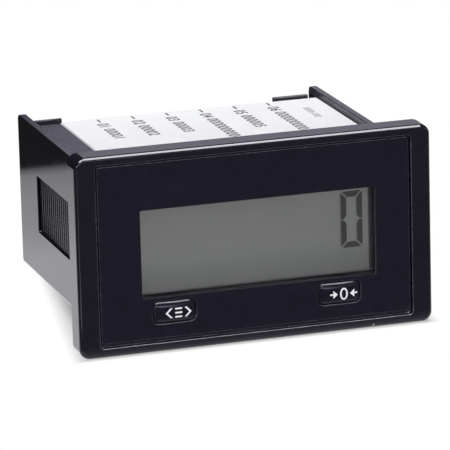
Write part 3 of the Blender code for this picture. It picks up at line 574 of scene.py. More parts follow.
@dataclass(frozen=True)
class Plastic(Finish):
    """A moulded plastic, lacquer or film: colour, gloss, grain, edge wear with a painted edge highlight, and
    dust.
    """

    roughness: float
    swing: float = 0.05
    specular: float = 0.5
    grain_scale: float = 2500.0
    grain_depth: float = 0.4e-6
    tint: float = 0.25
    # Share of the paler edge colour: partly wear, partly a painted highlight
    wear_and_highlight: float = 0.0
    dust: float = 0.0

    def fill(self, sheet: NodeSheet, shader: bpy.types.Node) -> None:
        """Feeds the shader with a mottled colour and gloss, edge wear with a painted edge highlight, dust
        and grain.

        Args:
            sheet: The material's sheet.
            shader: Its Principled shader.
        """
        where = sheet.place()
        grain = sheet.shared(surface_grain(), Vector=where, Scale=self.grain_scale)
        mottle = sheet.spread(grain["Mottle"], MOTTLE)
        colour = sheet.blend(mottle, self.scaled(1 - self.tint), self.scaled(1 + self.tint))
        # Edges turn paler: partly wear, partly a painted highlight along them
        if self.wear_and_highlight:
            share = sheet.maths("MULTIPLY", sheet.shared(edge_wear())["Mask"], self.wear_and_highlight)
            colour = sheet.blend(share, colour, self.scaled(*WORN_AND_HIGHLIT))
        if self.dust:
            mask = sheet.shared(dust_specks(), Vector=where, Amount=self.dust)["Mask"]
            colour = sheet.blend(mask, colour, DUST)
        rough = sheet.spread(grain["Mottle"], MOTTLE, about(self.roughness, self.swing))
        sheet.feed(shader, {"Base Color": colour, "Roughness": rough, "Specular IOR Level": self.specular,
                            "Normal": sheet.bump(grain["Height"], self.grain_depth)})


@dataclass(frozen=True)
class Metal(Finish):
    """A plated or bare metal with drawn or turned marks."""

    roughness: float
    stretch: Place = (1.0, 1.0, 12.0)

    def fill(self, sheet: NodeSheet, shader: bpy.types.Node) -> None:
        """Feeds the shader with marks that are stretched one way.

        Args:
            sheet: The material's sheet.
            shader: Its Principled shader.
        """
        drawn = sheet.add("ShaderNodeMapping", {"Vector": sheet.place(), "Scale": self.stretch})[0]
        grain = sheet.shared(surface_grain(), Vector=drawn, Scale=1500.0)
        colour = sheet.blend(sheet.spread(grain["Mottle"], (0.35, 0.65)), self.scaled(0.75), self.colour)
        rough = sheet.spread(grain["Height"], MOTTLE, (self.roughness * 0.75, self.roughness * 1.3))
        sheet.feed(shader, {"Base Color": colour, "Roughness": rough, "Metallic": 1.0,
                            "Normal": sheet.bump(grain["Height"], 1.0e-6)})


@dataclass(frozen=True)
class ClearSheet(Finish):
    """A clear pane of acrylic or glass that lets light and shadow rays through."""

    ior: float = 1.49
    roughness: float = 0.01

    def fill(self, sheet: NodeSheet, shader: bpy.types.Node) -> None:
        """Feeds the shader and lets shadow and diffuse rays pass it by.

        Args:
            sheet: The material's sheet.
            shader: Its Principled shader.
        """
        grain = sheet.shared(surface_grain(), Vector=sheet.place(), Scale=900.0)
        rough = sheet.spread(grain["Mottle"], MOTTLE, (self.roughness, self.roughness * 2))
        sheet.feed(shader, {"Roughness": rough, "Base Color": (*self.colour, 1.0), "IOR": self.ior,
                            "Transmission Weight": 1.0})
        through = sheet.add("ShaderNodeBsdfTransparent", {0: (*self.colour, 1.0)})[0]
        path = sheet.add("ShaderNodeLightPath")
        unseen = sheet.maths("MAXIMUM", path["Is Shadow Ray"], path["Is Diffuse Ray"])
        sheet.feed("Material Output", {"Surface": sheet.mix(unseen, shader.outputs[0], through)})


@dataclass(frozen=True)
class DisplayFilm(Finish):
    """The grey-green film of the display, with painted shade at its foot, over its lower part and beyond its
    right end, and a painted tone for the shaded band past that end.
    """

    shaded: Colour = (0.04, 0.04, 0.045)
    shadow_band_tone: Colour = (0.07, 0.066, 0.08)
    foot: Point = mm(10.6, 12.2)
    dusk: Point = mm(12, 19)
    end: Point = mm(25.95, 26.05)
    shadow_band_end: float = 26.65 * MM

    def fill(self, sheet: NodeSheet, shader: bpy.types.Node) -> None:
        """Feeds the shader with the painted shades at the film's foot, lower part and end.

        Args:
            sheet: The material's sheet.
            shader: Its Principled shader.
        """
        where = sheet.place()
        grain = sheet.shared(surface_grain(), Vector=where, Scale=1800.0)
        axes = sheet.split(where)
        # Painted shade: darker at the foot, over the lower part and beyond the right end, where the window's
        # walls shade the film
        share = sheet.fold("MAXIMUM", sheet.spread(axes[2], self.foot, (1.0, 0.0), smooth=True),
                           sheet.spread(axes[2], self.dusk, (0.4, 0.0), smooth=True),
                           sheet.spread(axes[0], self.end, (0.0, 0.85)))
        shade_and_mottle = sheet.maths("MULTIPLY_ADD", grain["Mottle"], 0.1, sheet.maths("SUBTRACT", share, 0.05))
        film = sheet.blend(shade_and_mottle, self.colour, self.shaded)
        # Past the end the colour turns to a painted tone for the band in the window's shade
        colour = sheet.blend(sheet.spread(axes[0], (self.end[1], self.shadow_band_end)), film, self.shadow_band_tone)
        rough = sheet.spread(grain["Height"], (0.2, 0.8), (0.3, 0.5))
        sheet.feed(shader, {"Base Color": colour, "Roughness": rough,
                            "Normal": sheet.bump(grain["Height"], 0.5e-6)})


@dataclass(frozen=True)
class CircuitMask(Finish):
    """Green solder mask with copper tracks showing faintly through it."""

    track: Colour
    pitch: float = 1.27 * MM

    def fill(self, sheet: NodeSheet, shader: bpy.types.Node) -> None:
        """Feeds the shader with the tracks.

        Args:
            sheet: The material's sheet.
            shader: Its Principled shader.
        """
        where = sheet.place()
        black, white = (0, 0, 0, 1), (1, 1, 1, 1)
        tracks = sheet.add("ShaderNodeTexBrick", {"Vector": where, "Scale": 0.25 / self.pitch,
                                                  "Mortar Size": 0.02, "Color1": black,
                                                  "Color2": black, "Mortar": white})[0]
        grain = sheet.shared(surface_grain(), Vector=where, Scale=1200.0)
        sheet.feed(shader, {"Base Color": sheet.blend(tracks, self.colour, self.track),
                            "Roughness": sheet.spread(grain["Mottle"], MOTTLE, (0.3, 0.5))})


@dataclass(frozen=True)
class BandedRubber(Finish):
    """Rubber contact strip: dark conductive layers between paler insulating ones."""

    band: Colour
    pitch: float = 0.18 * MM

    def fill(self, sheet: NodeSheet, shader: bpy.types.Node) -> None:
        """Feeds the shader with the bands.

        Args:
            sheet: The material's sheet.
            shader: Its Principled shader.
        """
        across = sheet.maths("MULTIPLY", sheet.split(sheet.place())[0], WHOLE / self.pitch)
        share = sheet.spread(sheet.maths("SINE", across), (-0.2, 0.2))
        sheet.feed(shader, {"Base Color": sheet.blend(share, self.colour, self.band), "Roughness": 0.8})


GLOSS_BLACK = Plastic("gloss_black", (0.0085, 0.0083, 0.0155), 0.095, swing=0.025, specular=0.4, tint=0.1,
                      grain_scale=3500.0, grain_depth=0.35e-6, wear_and_highlight=0.5, dust=0.004)
# Painted top light: the housing's black made lighter and bluer on the deck for the light falling on it, with
# a satin gloss
DECK_SATIN_TOPLIT = Plastic("deck_satin", (0.05, 0.049, 0.065), 0.4, specular=0.8, tint=0.1)
FACE_FILM = Plastic("face_film", (0.0101, 0.0095, 0.0182), 0.16, swing=0.03, specular=0.3, tint=0.08,
                    grain_scale=5000.0, grain_depth=0.3e-6, dust=0.002)
# Painted highlight: cut and rim edges made pale for the light lines along them, with the die-cut film's real
# pale specks
RIM_SPECKS_AND_HIGHLIGHT = Plastic("film_edge", (0.05, 0.05, 0.062), 0.4, swing=0.1, tint=0.6, grain_scale=9000.0,
                    dust=0.35)
# Painted light: the window walls that face left, made pale for the light they show
WINDOW_WALL_LIT = Plastic("wall_pale", (0.19, 0.185, 0.2), 0.5, swing=0.1, tint=0.4, grain_scale=9000.0)
FILM_CUT = Plastic("film_cut", (0.016, 0.016, 0.02), 0.6, specular=0.04, tint=0.3)
KEY_BLACK = Plastic("key_black", (0.0095, 0.0092, 0.018), 0.15, swing=0.04, specular=0.25, tint=0.1,
                    grain_scale=4000.0, wear_and_highlight=0.3)
KEY_PRINT = Plastic("key_print", (0.92, 0.92, 0.95), 0.4, tint=0.03)
CLEAR_PANE = ClearSheet("clear_pane", (0.98, 0.985, 0.98))
DISPLAY_GLASS = ClearSheet("display_glass", (0.975, 0.985, 0.975), ior=1.04)
FRONT_FILM = ClearSheet("front_film", (0.96, 0.965, 0.955), ior=1.04)
DISPLAY_FILM = DisplayFilm("display_film", (0.166, 0.16, 0.163))
DIGIT_INK = Plastic("digit_ink", (0.012, 0.012, 0.016), 0.35)
DIGIT_SHADE = Plastic("digit_shade", (0.13, 0.128, 0.125), 0.45, tint=0.05)
FRAME_GREY = Plastic("frame_grey", (0.035, 0.035, 0.038), 0.5, grain_scale=1800.0, grain_depth=2.0e-6)
ZEBRA = BandedRubber("zebra_rubber", (0.03, 0.03, 0.033), (0.18, 0.17, 0.15))
CIRCUIT = CircuitMask("circuit_board", (0.02, 0.13, 0.045), (0.05, 0.24, 0.08))
EPOXY = Plastic("component_black", (0.02, 0.02, 0.02), 0.55, grain_scale=3000.0, grain_depth=3.0e-6)
TAN = Plastic("component_tan", (0.55, 0.42, 0.26), 0.5, tint=0.1)
TIN = Metal("tin_plate", (0.72, 0.72, 0.70), 0.32)
STEEL = Metal("steel", (0.62, 0.62, 0.60), 0.28, stretch=(1.0, 9.0, 1.0))
BRASS = Metal("brass", (0.72, 0.56, 0.28), 0.3)
TERMINAL_BLACK = Plastic("terminal_black", (0.018, 0.018, 0.019), 0.38, specular=0.45, grain_scale=2200.0,
                         grain_depth=1.5e-6, wear_and_highlight=0.2)
LABEL_WHITE = Plastic("label_white", (0.865, 0.868, 0.89), 0.5, tint=0.012, grain_scale=2600.0,
                      grain_depth=0.8e-6)
LABEL_INK = Plastic("label_ink", (0.025, 0.025, 0.028), 0.5, tint=0.2)
LABEL_INK_PALE = Plastic("label_ink_pale", (0.38, 0.38, 0.39), 0.5, tint=0.1)


# Rows by Geometry Nodes

@cache
def row_tree() -> bpy.types.NodeTree:
    """Returns the node tree that repeats a mesh along a line and gives it a finish."""
    tree = bpy.data.node_groups.new("row_of_copies", "GeometryNodeTree")
    tree.is_modifier = True
    for title, kind in (("Geometry", "NodeSocketGeometry"), ("Count", "NodeSocketInt"),
                        ("Step", "NodeSocketVector"), ("Finish", "NodeSocketMaterial")):
        tree.interface.new_socket(title, in_out="INPUT", socket_type=kind)
    tree.interface.new_socket("Geometry", in_out="OUTPUT", socket_type="NodeSocketGeometry")
    sheet = NodeSheet(tree)
    given = sheet.add("NodeGroupInput")
    line = sheet.add("GeometryNodeMeshLine", {"Count": given["Count"], "Offset": given["Step"]},
                     mode="OFFSET")
    copies = sheet.add("GeometryNodeInstanceOnPoints", {"Points": line[0], "Instance": given["Geometry"]})
    real = sheet.add("GeometryNodeRealizeInstances", {0: copies[0]})
    painted = sheet.add("GeometryNodeSetMaterial", {"Geometry": real[0], "Material": given["Finish"]})
    sheet.add("NodeGroupOutput", {0: painted[0]})
    return tree


def repeat(piece: Piece, count: int, step: Place, finish: Finish) -> None:
    """Repeats a piece along a line with the row tree and makes the result a plain mesh.

    Args:
        piece: The piece with its first copy in place.
        count: How many copies in all.
        step: From one copy to the next.
        finish: The finish of all of them.
    """
    row = change(piece, "NODES", node_group=row_tree())
    values = {"Count": count, "Step": step, "Finish": material_of(finish)}
    for item in row_tree().interface.items_tree:
        if item.item_type == "SOCKET" and item.in_out == "INPUT" and item.name in values:
            row[item.identifier] = values[item.name]
    bake(piece)
    piece.data.shade_smooth()
    piece.data.set_sharp_from_angle(angle=SHARP_ANGLE)


# The counter's sub-assemblies

@dataclass
class Ledger:
    """Makes and books every piece: its body, the nodes it stands for and its finishes."""

    face: float
    booked: int = 0

    def book(self, piece: Piece, body: str, slot: str, finishes: tuple[Finish, ...], *nodes: str) -> None:
        """Finishes a piece, makes it ride on a body and stand for CAD nodes.

        Args:
            piece: The piece.
            body: The body that it moves with.
            slot: The record's material slot; not used.
            finishes: Its finishes, in the order of its material indices; none keeps what it has.
            nodes: CAD nodes that it replaces.
        """
        if finishes:
            dress(piece, *finishes)
        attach(piece, body)
        if nodes:
            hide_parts(*nodes)
        self.booked += 1
        LOG.info("%s rides on %s", piece.name, body)

    def make(self, name: str, form: Form, tools: list[Form], softness: float, *booking: object) -> Piece:
        """Makes a piece from a form and tool shapes, softens its edges and books it.

        Args:
            name: The piece's name.
            form: What it starts from.
            tools: Shapes that are cut out or added on, in order.
            softness: Width of its rounded edges.
            booking: What book needs after the piece.

        Returns:
            The piece.
        """
        piece = form.piece(name)
        for tool in tools:
            shape(piece, tool)
        soften(piece, softness)
        self.book(piece, *booking)
        return piece


@dataclass
class Assembly:
    """A sub-assembly that places its forms by their depth behind the bezel's face."""

    ledger: Ledger

    def at(self, depth: float) -> float:
        """Returns the Y of a depth."""
        return self.ledger.face + depth

    def ends(self, depths: Point) -> Point:
        """Returns the Y of two depths."""
        return self.at(depths[0]), self.at(depths[1])


@dataclass
class Housing(Assembly):
    """The one-piece moulding: bezel, web, walls and racks."""

    width: float = 76.2 * MM
    height: float = 42.2 * MM
    flange: float = 5.7 * MM
    corner: float = 2.2 * MM
    corner_steps: int = 12
    edge: float = 0.8 * MM
    edge_steps: int = 10
    depth: float = 60.5 * MM
    half: float = 33.7 * MM
    inner_half: float = 32.1 * MM
    underside: float = 5.0 * MM
    floor_top: float = 6.6 * MM
    ceiling: float = 34.95 * MM
    deck: float = 36.55 * MM
    wall_top: float = 38.0 * MM
    deck_end: float = 54.2 * MM
    body_edge: float = 0.8 * MM
    body_steps: int = 8
    wall_end: float = 1.2 * MM
    recess: float = 1.2 * MM
    recess_side: float = 4.35 * MM
    recess_end: float = 1.95 * MM
    recess_corner: float = 0.7 * MM
    web_back: float = 2.4 * MM
    band_back: float = 3.4 * MM
    band_top: float = 10.7 * MM
    window_low: Point = mm(-24.9, 11.2)
    window_high: Point = mm(26.4, 30.4)
    window_corner: float = 0.4 * MM
    window_margin: float = 0.2 * MM
    rack_start: float = 9.5 * MM
    rack_levels: Point = (15.35 * MM, 15.35 * MM + 12.25 * MM)
    rack_pitch: float = 1.6 * MM
    rack_teeth: int = 23
    rack_deep: float = 0.85 * MM
    tooth_height: float = 0.5 * MM
    tooth_flat: float = rack_pitch / 25
    tooth_ramp: float = 0.8
    softness: float = 0.16 * MM

    def bezel(self) -> Form:
        """Returns the bezel as a loft with a rounded front edge."""
        low, high = (-self.width / 2, 0.0), (self.width / 2, self.height)
        loops = []
        for turn in span(0, QUARTER, self.edge_steps):
            inset = self.edge * (1 - math.sin(turn))
            outline = drawn_in(low, high, self.corner, inset, self.corner_steps)
            loops.append(placed(outline, Axis.Y, self.at(self.edge * (1 - math.cos(turn)))))
        outline = rounded(low, high, self.corner, self.corner_steps)
        return Form().loft(loops + [placed(outline, Axis.Y, self.at(self.flange))])

    def body(self) -> Form:
        """Returns the body's section, with side walls above the deck, run back to the rear."""
        centre, level = self.half - self.body_edge, self.underside + self.body_edge
        right = [(self.half, self.wall_top), (self.inner_half, self.wall_top), (self.inner_half, self.deck)]
        outline = (arc((-centre, level), self.body_edge, -math.pi, -QUARTER, self.body_steps)
                   + arc((centre, level), self.body_edge, -QUARTER, 0, self.body_steps)
                   + right + [(-x, z) for x, z in reversed(right)])
        return Form(Join.ADD).prism(outline, Axis.Y, *self.ends((self.flange / 2, self.depth)))

    def wall_ends(self) -> Form:
        """Returns what the side walls' rear corners lose."""
        end, radius, form = self.at(self.depth), self.wall_end, Form()
        for level, way in ((self.wall_top, 1), (self.underside, -1)):
            curve = arc((end - radius, level - way * radius), radius, way * QUARTER, 0, self.body_steps)
            outline = [(end + OVERRUN, level + way * OVERRUN), (end - radius, level + way * OVERRUN)]
            outline += curve + [(end + OVERRUN, level - way * radius)]
            form.prism(outline, Axis.X, *about(0, self.half + OVERRUN))
        return form

    def key_pockets(self, keys: list["Key"]) -> list[Form]:
        """Makes room for the keys.

        Args:
            keys: The keys.

        Returns:
            The pockets behind them and the holes for their stems.
        """
        pockets, holes = Form(), Form()
        for key in keys:
            pockets.prism(key.outline(-key.gap), Axis.Y, *self.ends((0, self.web_back)))
            holes.box(about(key.centre, key.stem_width / 2 + CLEARANCE),
                      self.ends((self.recess, self.band_back + OVERRUN)),
                      about(key.level, key.stem_height / 2 + CLEARANCE))
        return [pockets, holes]

    def rack_pockets(self) -> Form:
        """Returns the two shallow pockets that hold the rack teeth."""
        form, start = Form(), self.at(self.rack_start)
        for side in (-1, 1):
            ends = tuple(sorted((side * (self.half + OVERRUN), side * (self.half - self.rack_deep))))
            form.box(ends, (start, start + self.rack_pitch * self.rack_teeth), self.rack_levels)
        return form

    def teeth(self, side: int) -> Piece:
        """Makes one side's row of saw teeth.

        Args:
            side: -1 for the left wall, 1 for the right.

        Returns:
            The teeth as one plain mesh.
        """
        start, deep = self.at(self.rack_start), side * (self.half - self.rack_deep)
        crest, root = deep + side * self.tooth_height, deep - side * self.tooth_height / 4
        tip, end = start + self.rack_pitch * (1 - self.tooth_ramp), start + self.rack_pitch
        before, after = about(tip, self.tooth_flat)
        outline = [(root, start), (deep, start), (crest, before), (crest, after), (deep, end), (root, end)]
        name = "left_rack_teeth" if side < 0 else "right_rack_teeth"
        row = Form().prism(outline, Axis.Z, *self.rack_levels).piece(name)
        repeat(row, self.rack_teeth, (0, self.rack_pitch, 0), GLOSS_BLACK)
        return row

    def finish_of(self, face: bpy.types.MeshPolygon, reach: float, rise: float) -> Finish:
        """Chooses the finish of one face of the shell.

        Args:
            face: The face.
            reach: Half the recess's width.
            rise: Half its height.

        Returns:
            The finish.
        """
        (x, y, z), normal, margin = face.center, face.normal, self.window_margin
        on_deck = normal.z > LEVEL_LEAN and abs(z - self.deck) < NEAR
        by_deck = self.deck - NEAR < z < self.wall_top and abs(abs(x) - self.inner_half) < NEAR
        # The deck and the wall faces beside it take the deck finish, lighter as painted top light
        if on_deck or by_deck and abs(normal.x) > WALL_LEAN:
            return DECK_SATIN_TOPLIT
        inside = min(reach - abs(x), rise - abs(z - self.height / 2))
        # The recess rim takes the pale rim finish, a painted highlight line
        if y < self.at(self.softness) and abs(inside) < self.softness and abs(normal.y) < FACE_LEAN:
            return RIM_SPECKS_AND_HIGHLIGHT
        in_web = self.at(self.recess) - margin < y < self.at(self.web_back) and normal.y > -CUT_LEAN
        across = self.window_low[0] - margin < x < self.window_high[0] + margin
        # In the window, walls facing left take the pale wall finish as painted light, the others the dark
        # cut finish
        if in_web and across and self.window_low[1] - margin < z < self.window_high[1] + margin:
            return FILM_CUT if normal.x > -SIDE_LEAN else WINDOW_WALL_LIT
        return GLOSS_BLACK

    def build(self, keys: list["Key"]) -> None:
        """Makes the housing and its rack teeth.

        Args:
            keys: The keys that its web has room for.
        """
        inner, rear = about(0, self.inner_half), self.at(self.depth + OVERRUN)
        reach, rise = self.width / 2 - self.recess_side, self.height / 2 - self.recess_end
        sunk = rounded((-reach, self.recess_end), (reach, self.height - self.recess_end), self.recess_corner)
        window = rounded(self.window_low, self.window_high, self.window_corner)
        bay = (self.web_back, self.band_back + CLEARANCE)
        over_deck = (self.ceiling - OVERRUN, self.wall_top + OVERRUN)
        tools = [self.body(),
                 Form().box(inner, (self.at(self.band_back), rear), (self.floor_top, self.ceiling)),
                 Form().box(inner, self.ends(bay), (self.band_top, self.ceiling)),
                 Form().box(inner, (self.at(self.deck_end), rear), over_deck),
                 Form().prism(sunk, Axis.Y, *self.ends((-OVERRUN, self.recess))),
                 Form().prism(window, Axis.Y, *self.ends((0, self.web_back + OVERRUN))),
                 *self.key_pockets(keys), self.rack_pockets(), self.wall_ends()]
        finishes = (GLOSS_BLACK, DECK_SATIN_TOPLIT, FILM_CUT, RIM_SPECKS_AND_HIGHLIGHT, WINDOW_WALL_LIT)
        shell = self.ledger.make("housing_shell", self.bezel(), tools, self.softness,
                                 FIXED, "gloss_black", finishes, "housing")
        for face in shell.data.polygons:
            face.material_index = finishes.index(self.finish_of(face, reach, rise))
        for side in (-1, 1):
            self.ledger.book(self.teeth(side), FIXED, "gloss_black", ())


@dataclass
class FacePlate(Assembly):
    """The sunk black film with its window and key openings."""

    corner: float = 0.5 * MM
    window_corner: float = 0.4 * MM
    window_low: Point = mm(-24.5, 11.4)
    window_high: Point = mm(26.0, 30.0)
    softness: float = 0.08 * MM

    def finish_of(self, face: bpy.types.MeshPolygon) -> Finish:
        """Chooses the finish of one face of the plate.

        Args:
            face: The face.

        Returns:
            The finish.
        """
        x, _, z = face.center
        if abs(face.normal.y) >= CUT_LEAN:
            return FACE_FILM
        across = self.window_low[0] - OVERRUN < x < self.window_high[0] + OVERRUN
        upright = self.window_low[1] - OVERRUN / 4 < z < self.window_high[1] + OVERRUN
        # Cut faces facing left in the window, and all other cut edges, take the pale rim finish, a painted
        # highlight
        return FILM_CUT if across and upright and face.normal.x > -SIDE_LEAN else RIM_SPECKS_AND_HIGHLIGHT

    def build(self, keys: list["Key"]) -> None:
        """Makes the plate.

        Args:
            keys: The keys that pass through it.
        """
        low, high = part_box("front_overlay")
        through = (low.y - OVERRUN, high.y + OVERRUN)
        window = rounded(self.window_low, self.window_high, self.window_corner)
        openings = Form().prism(window, Axis.Y, *through)
        for key in keys:
            openings.prism(key.outline(-key.gap), Axis.Y, *through)
        sheet = Form().prism(rounded((low.x, low.z), (high.x, high.z), self.corner), Axis.Y, low.y, high.y)
        finishes = (FACE_FILM, RIM_SPECKS_AND_HIGHLIGHT, FILM_CUT)
        plate = self.ledger.make("face_plate", sheet, [openings], self.softness,
                                 FIXED, "overlay_black", finishes, "front_overlay")
        for face in plate.data.polygons:
            face.material_index = finishes.index(self.finish_of(face))


class Sign(Enum):
    """The generic sign printed on a key, with how far right of its middle it stands."""

    STEP = 0.8 * MM
    ZERO = 0.9 * MM


@dataclass
class Key(Assembly):
    """A crowned push key with its stem, snap barbs and printed sign."""

    name: str
    sign: Sign
    centre: float
    level: float = 8.2 * MM
    width: float = 9.0 * MM
    height: float = 4.5 * MM
    corner: float = 1.2 * MM
    corner_steps: int = 8
    gap: float = 0.2 * MM
    top: float = 0.1 * MM
    crown: float = 0.7 * MM
    crown_reach: float = 1.7 * MM
    crown_steps: int = 12
    top_steps: tuple[float, ...] = mm(0.2, 0.4, 0.53)
    dome: float = 0.3
    side_pieces: int = 12
    sign_drop: float = 0.25 * MM
    sign_rise: float = 1.05 * MM
    cap_back: float = 1.6 * MM
    stem_width: float = 4.0 * MM
    stem_height: float = 2.0 * MM
    barb_reach: float = 0.9 * MM
    barb_front: float = 3.7 * MM
    barb_end: float = 4.3 * MM
    stem_end: float = 4.5 * MM
    print_lift: float = 0.02 * MM
    stroke: float = 0.36 * MM
    zero_sides: int = 32
    sign_cuts: int = 3
    sign_merge: float = 0.001 * MM
    softness: float = 0.04 * MM

    def outline(self, inset: float) -> Outline:
        """Returns the key's outline, drawn in by an inset."""
        sides, ends = about(self.centre, self.width / 2), about(self.level, self.height / 2)
        return drawn_in((sides[0], ends[0]), (sides[1], ends[1]), self.corner, inset, self.corner_steps)

    def divided(self, inset: float) -> Outline:
        """Divides the outline's straight sides, so that the crown can be domed.

        Args:
            inset: How far the outline is drawn in.

        Returns:
            The outline with the added points.
        """
        points = self.outline(inset)
        result: Outline = []
        for here, (x, z) in enumerate(points):
            result.append((x, z))
            if here % (self.corner_steps + 1) == self.corner_steps:
                after = points[(here + 1) % len(points)]
                result += [(x + (after[0] - x) * share, z + (after[1] - z) * share)
                           for share in span(0, 1, self.side_pieces)[1:-1]]
        return result

    def crown_depth(self, x: float, z: float) -> float:
        """Works out how deep the crowned face lies at a place.

        Args:
            x: Place across the bezel.
            z: Level.

        Returns:
            Depth behind the bezel's face.
        """
        u = abs(x - self.centre) - (self.width / 2 - self.corner)
        v = abs(z - self.level) - (self.height / 2 - self.corner)
        outside = math.hypot(max(u, 0), max(v, 0)) + min(max(u, v), 0)
        inset = min(max(self.corner - outside, 0), self.crown_reach)
        cosine = 1 - inset / self.crown_reach
        fall = self.dome * ((x - self.centre) / (self.width / 2)) ** 2
        return self.top + self.crown * (1 - math.sqrt(max(1 - cosine * cosine, 0)) * (1 - fall))

    def cap(self) -> Form:
        """Returns the cap as a stack of loops up to its crowned face."""
        loops = [placed(self.divided(0), Axis.Y, self.at(self.cap_back))]
        insets = [self.crown_reach * (1 - math.cos(turn)) for turn in span(0, QUARTER, self.crown_steps)]
        for inset in insets + [self.crown_reach + step for step in self.top_steps]:
            loops.append([(x, self.at(self.crown_depth(x, z)), z) for x, z in self.divided(inset)])
        return Form().loft(loops)

    def stem(self) -> Form:
        """Returns the stem with its two snap barbs."""
        half, back = self.stem_width / 2, self.at(self.cap_back) - CLEARANCE
        front, end = self.ends((self.barb_front, self.barb_end))
        right = [(half, front), (half + self.barb_reach, front), (half, end), (half, self.at(self.stem_end))]
        left = [(-x, y) for x, y in reversed(right)]
        outline = [(self.centre + x, y) for x, y in [(half, back)] + right + left + [(-half, back)]]
        return Form(Join.ADD).prism(outline, Axis.Z, *about(self.level, self.stem_height / 2))

    def strokes(self) -> list[Outline]:
        """Returns the sign's outlines about the key's centre."""
        t, h = self.stroke / 2, self.sign_rise
        if self.sign is Sign.STEP:
            tip, outer, inner, notch, bar = mm(-2.8, -1.75, -1.25, -2.3, 0.75)
            wing = [(tip, 0.0), (outer, -h), (inner, -h), (notch, 0.0), (inner, h), (outer, h)]
            bars = [rectangle((-bar, z - t), (bar, z + t)) for z in (-h + t, 0.0, h - t)]
            return [wing, [(-x, z) for x, z in reversed(wing)]] + bars
        shapes: list[Outline] = []
        for side in (-1, 1):
            tip, back, neck, end, head = mm(side * 1.35, side * 2.3, side * 2.25, side * 3.0, 0.85)
            shapes += [[(tip, 0.0), (back, -head), (back, head)], rectangle((neck, -t), (end, t))]
        turns = span(0, WHOLE, self.zero_sides)
        outer, inner = ([(across * math.cos(turn), up * math.sin(turn)) for turn in turns]
                        for across, up in (mm(0.85, 1.3), mm(0.5, 0.93)))
        return shapes + [[outer[here], outer[here + 1], inner[here + 1], inner[here]]
                         for here in range(self.zero_sides)]

    def sign_piece(self) -> Piece:
        """Returns the sign as a thin print that follows the crown."""
        form, right = Form(), self.centre + self.sign.value
        grid = form.mesh
        for outline in self.strokes():
            corners = [(right + x, 0, self.level - self.sign_drop + z) for x, z in outline]
            grid.faces.new([grid.verts.new(corner) for corner in corners])
        bmesh.ops.remove_doubles(grid, verts=grid.verts, dist=self.sign_merge)
        bmesh.ops.triangulate(grid, faces=grid.faces)
        bmesh.ops.subdivide_edges(grid, edges=grid.edges, cuts=self.sign_cuts, use_grid_fill=True)
        raised = bmesh.ops.extrude_face_region(grid, geom=list(grid.faces))["geom"]
        front = {item for item in raised if isinstance(item, bmesh.types.BMVert)}
        for vert in grid.verts:
            lift = -self.print_lift if vert in front else self.print_lift
            vert.co.y = self.at(self.crown_depth(vert.co.x, vert.co.z) + lift)
        return form.piece(f"{self.name}_sign")

    def build(self) -> None:
        """Makes the cap and its sign."""
        body = f"{self.name}_body"
        self.ledger.make(f"{self.name}_cap", self.cap(), [self.stem()], self.softness,
                         body, "key_black", (KEY_BLACK,), self.name)
        self.ledger.book(self.sign_piece(), body, "label_white", (KEY_PRINT,))


@dataclass
class Display(Assembly):
    """The liquid-crystal cell: its lit digit between the glasses and the shade that it throws."""

    digit_low: Point = mm(20.0, 16.35)
    digit_high: Point = mm(24.7, 28.4)
    stroke: float = 1.25 * MM
    slit: float = 0.5 * MM
    bevel: float = 0.9 * MM
    notch: float = 0.1 * MM
    thickness: float = 0.03 * MM
    digit_lift: float = 1.2
    shade_shift: Point = mm(-0.34, -0.10)

    def segments(self, shift: Point) -> list[Outline]:
        """Draws a 0's six segments.

        Args:
            shift: Moves them across and up.

        Returns:
            One outline for each segment.
        """
        left, low = self.digit_low[0] + shift[0], self.digit_low[1] + shift[1]
        right, high = self.digit_high[0] + shift[0], self.digit_high[1] + shift[1]
        middle, t, g = (low + high) / 2, self.stroke, self.slit / 2
        top = [(left + g, high), (right - g, high), (right - t - g, high - t), (left + t + g, high - t)]
        upper = [(left, high - g), (left + t, high - t - g), (left + t, middle + self.bevel),
                 (left + t / 2, middle + self.notch), (left, middle + self.notch)]
        foot, lower = ([(x, low + high - z) for x, z in reversed(outline)] for outline in (top, upper))
        sides = [[(left + right - x, z) for x, z in reversed(outline)] for outline in (upper, lower)]
        return [top, foot, upper, lower] + sides

    def build(self) -> None:
        """Makes the digit and its shade as thin plates on the rear glass's front."""
        front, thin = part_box("lcd_rear_glass")[0].y, self.thickness
        raised = front - thin * self.digit_lift
        for name, shift, depth, finish in (("display_digit_shade", self.shade_shift, front, DIGIT_SHADE),
                                           ("display_digit", (0.0, 0.0), raised, DIGIT_INK)):
            form = Form()
            for outline in self.segments(shift):
                form.prism(outline, Axis.Y, depth - thin, depth)
            self.ledger.book(form.piece(name), FIXED, "display_film", (finish,))


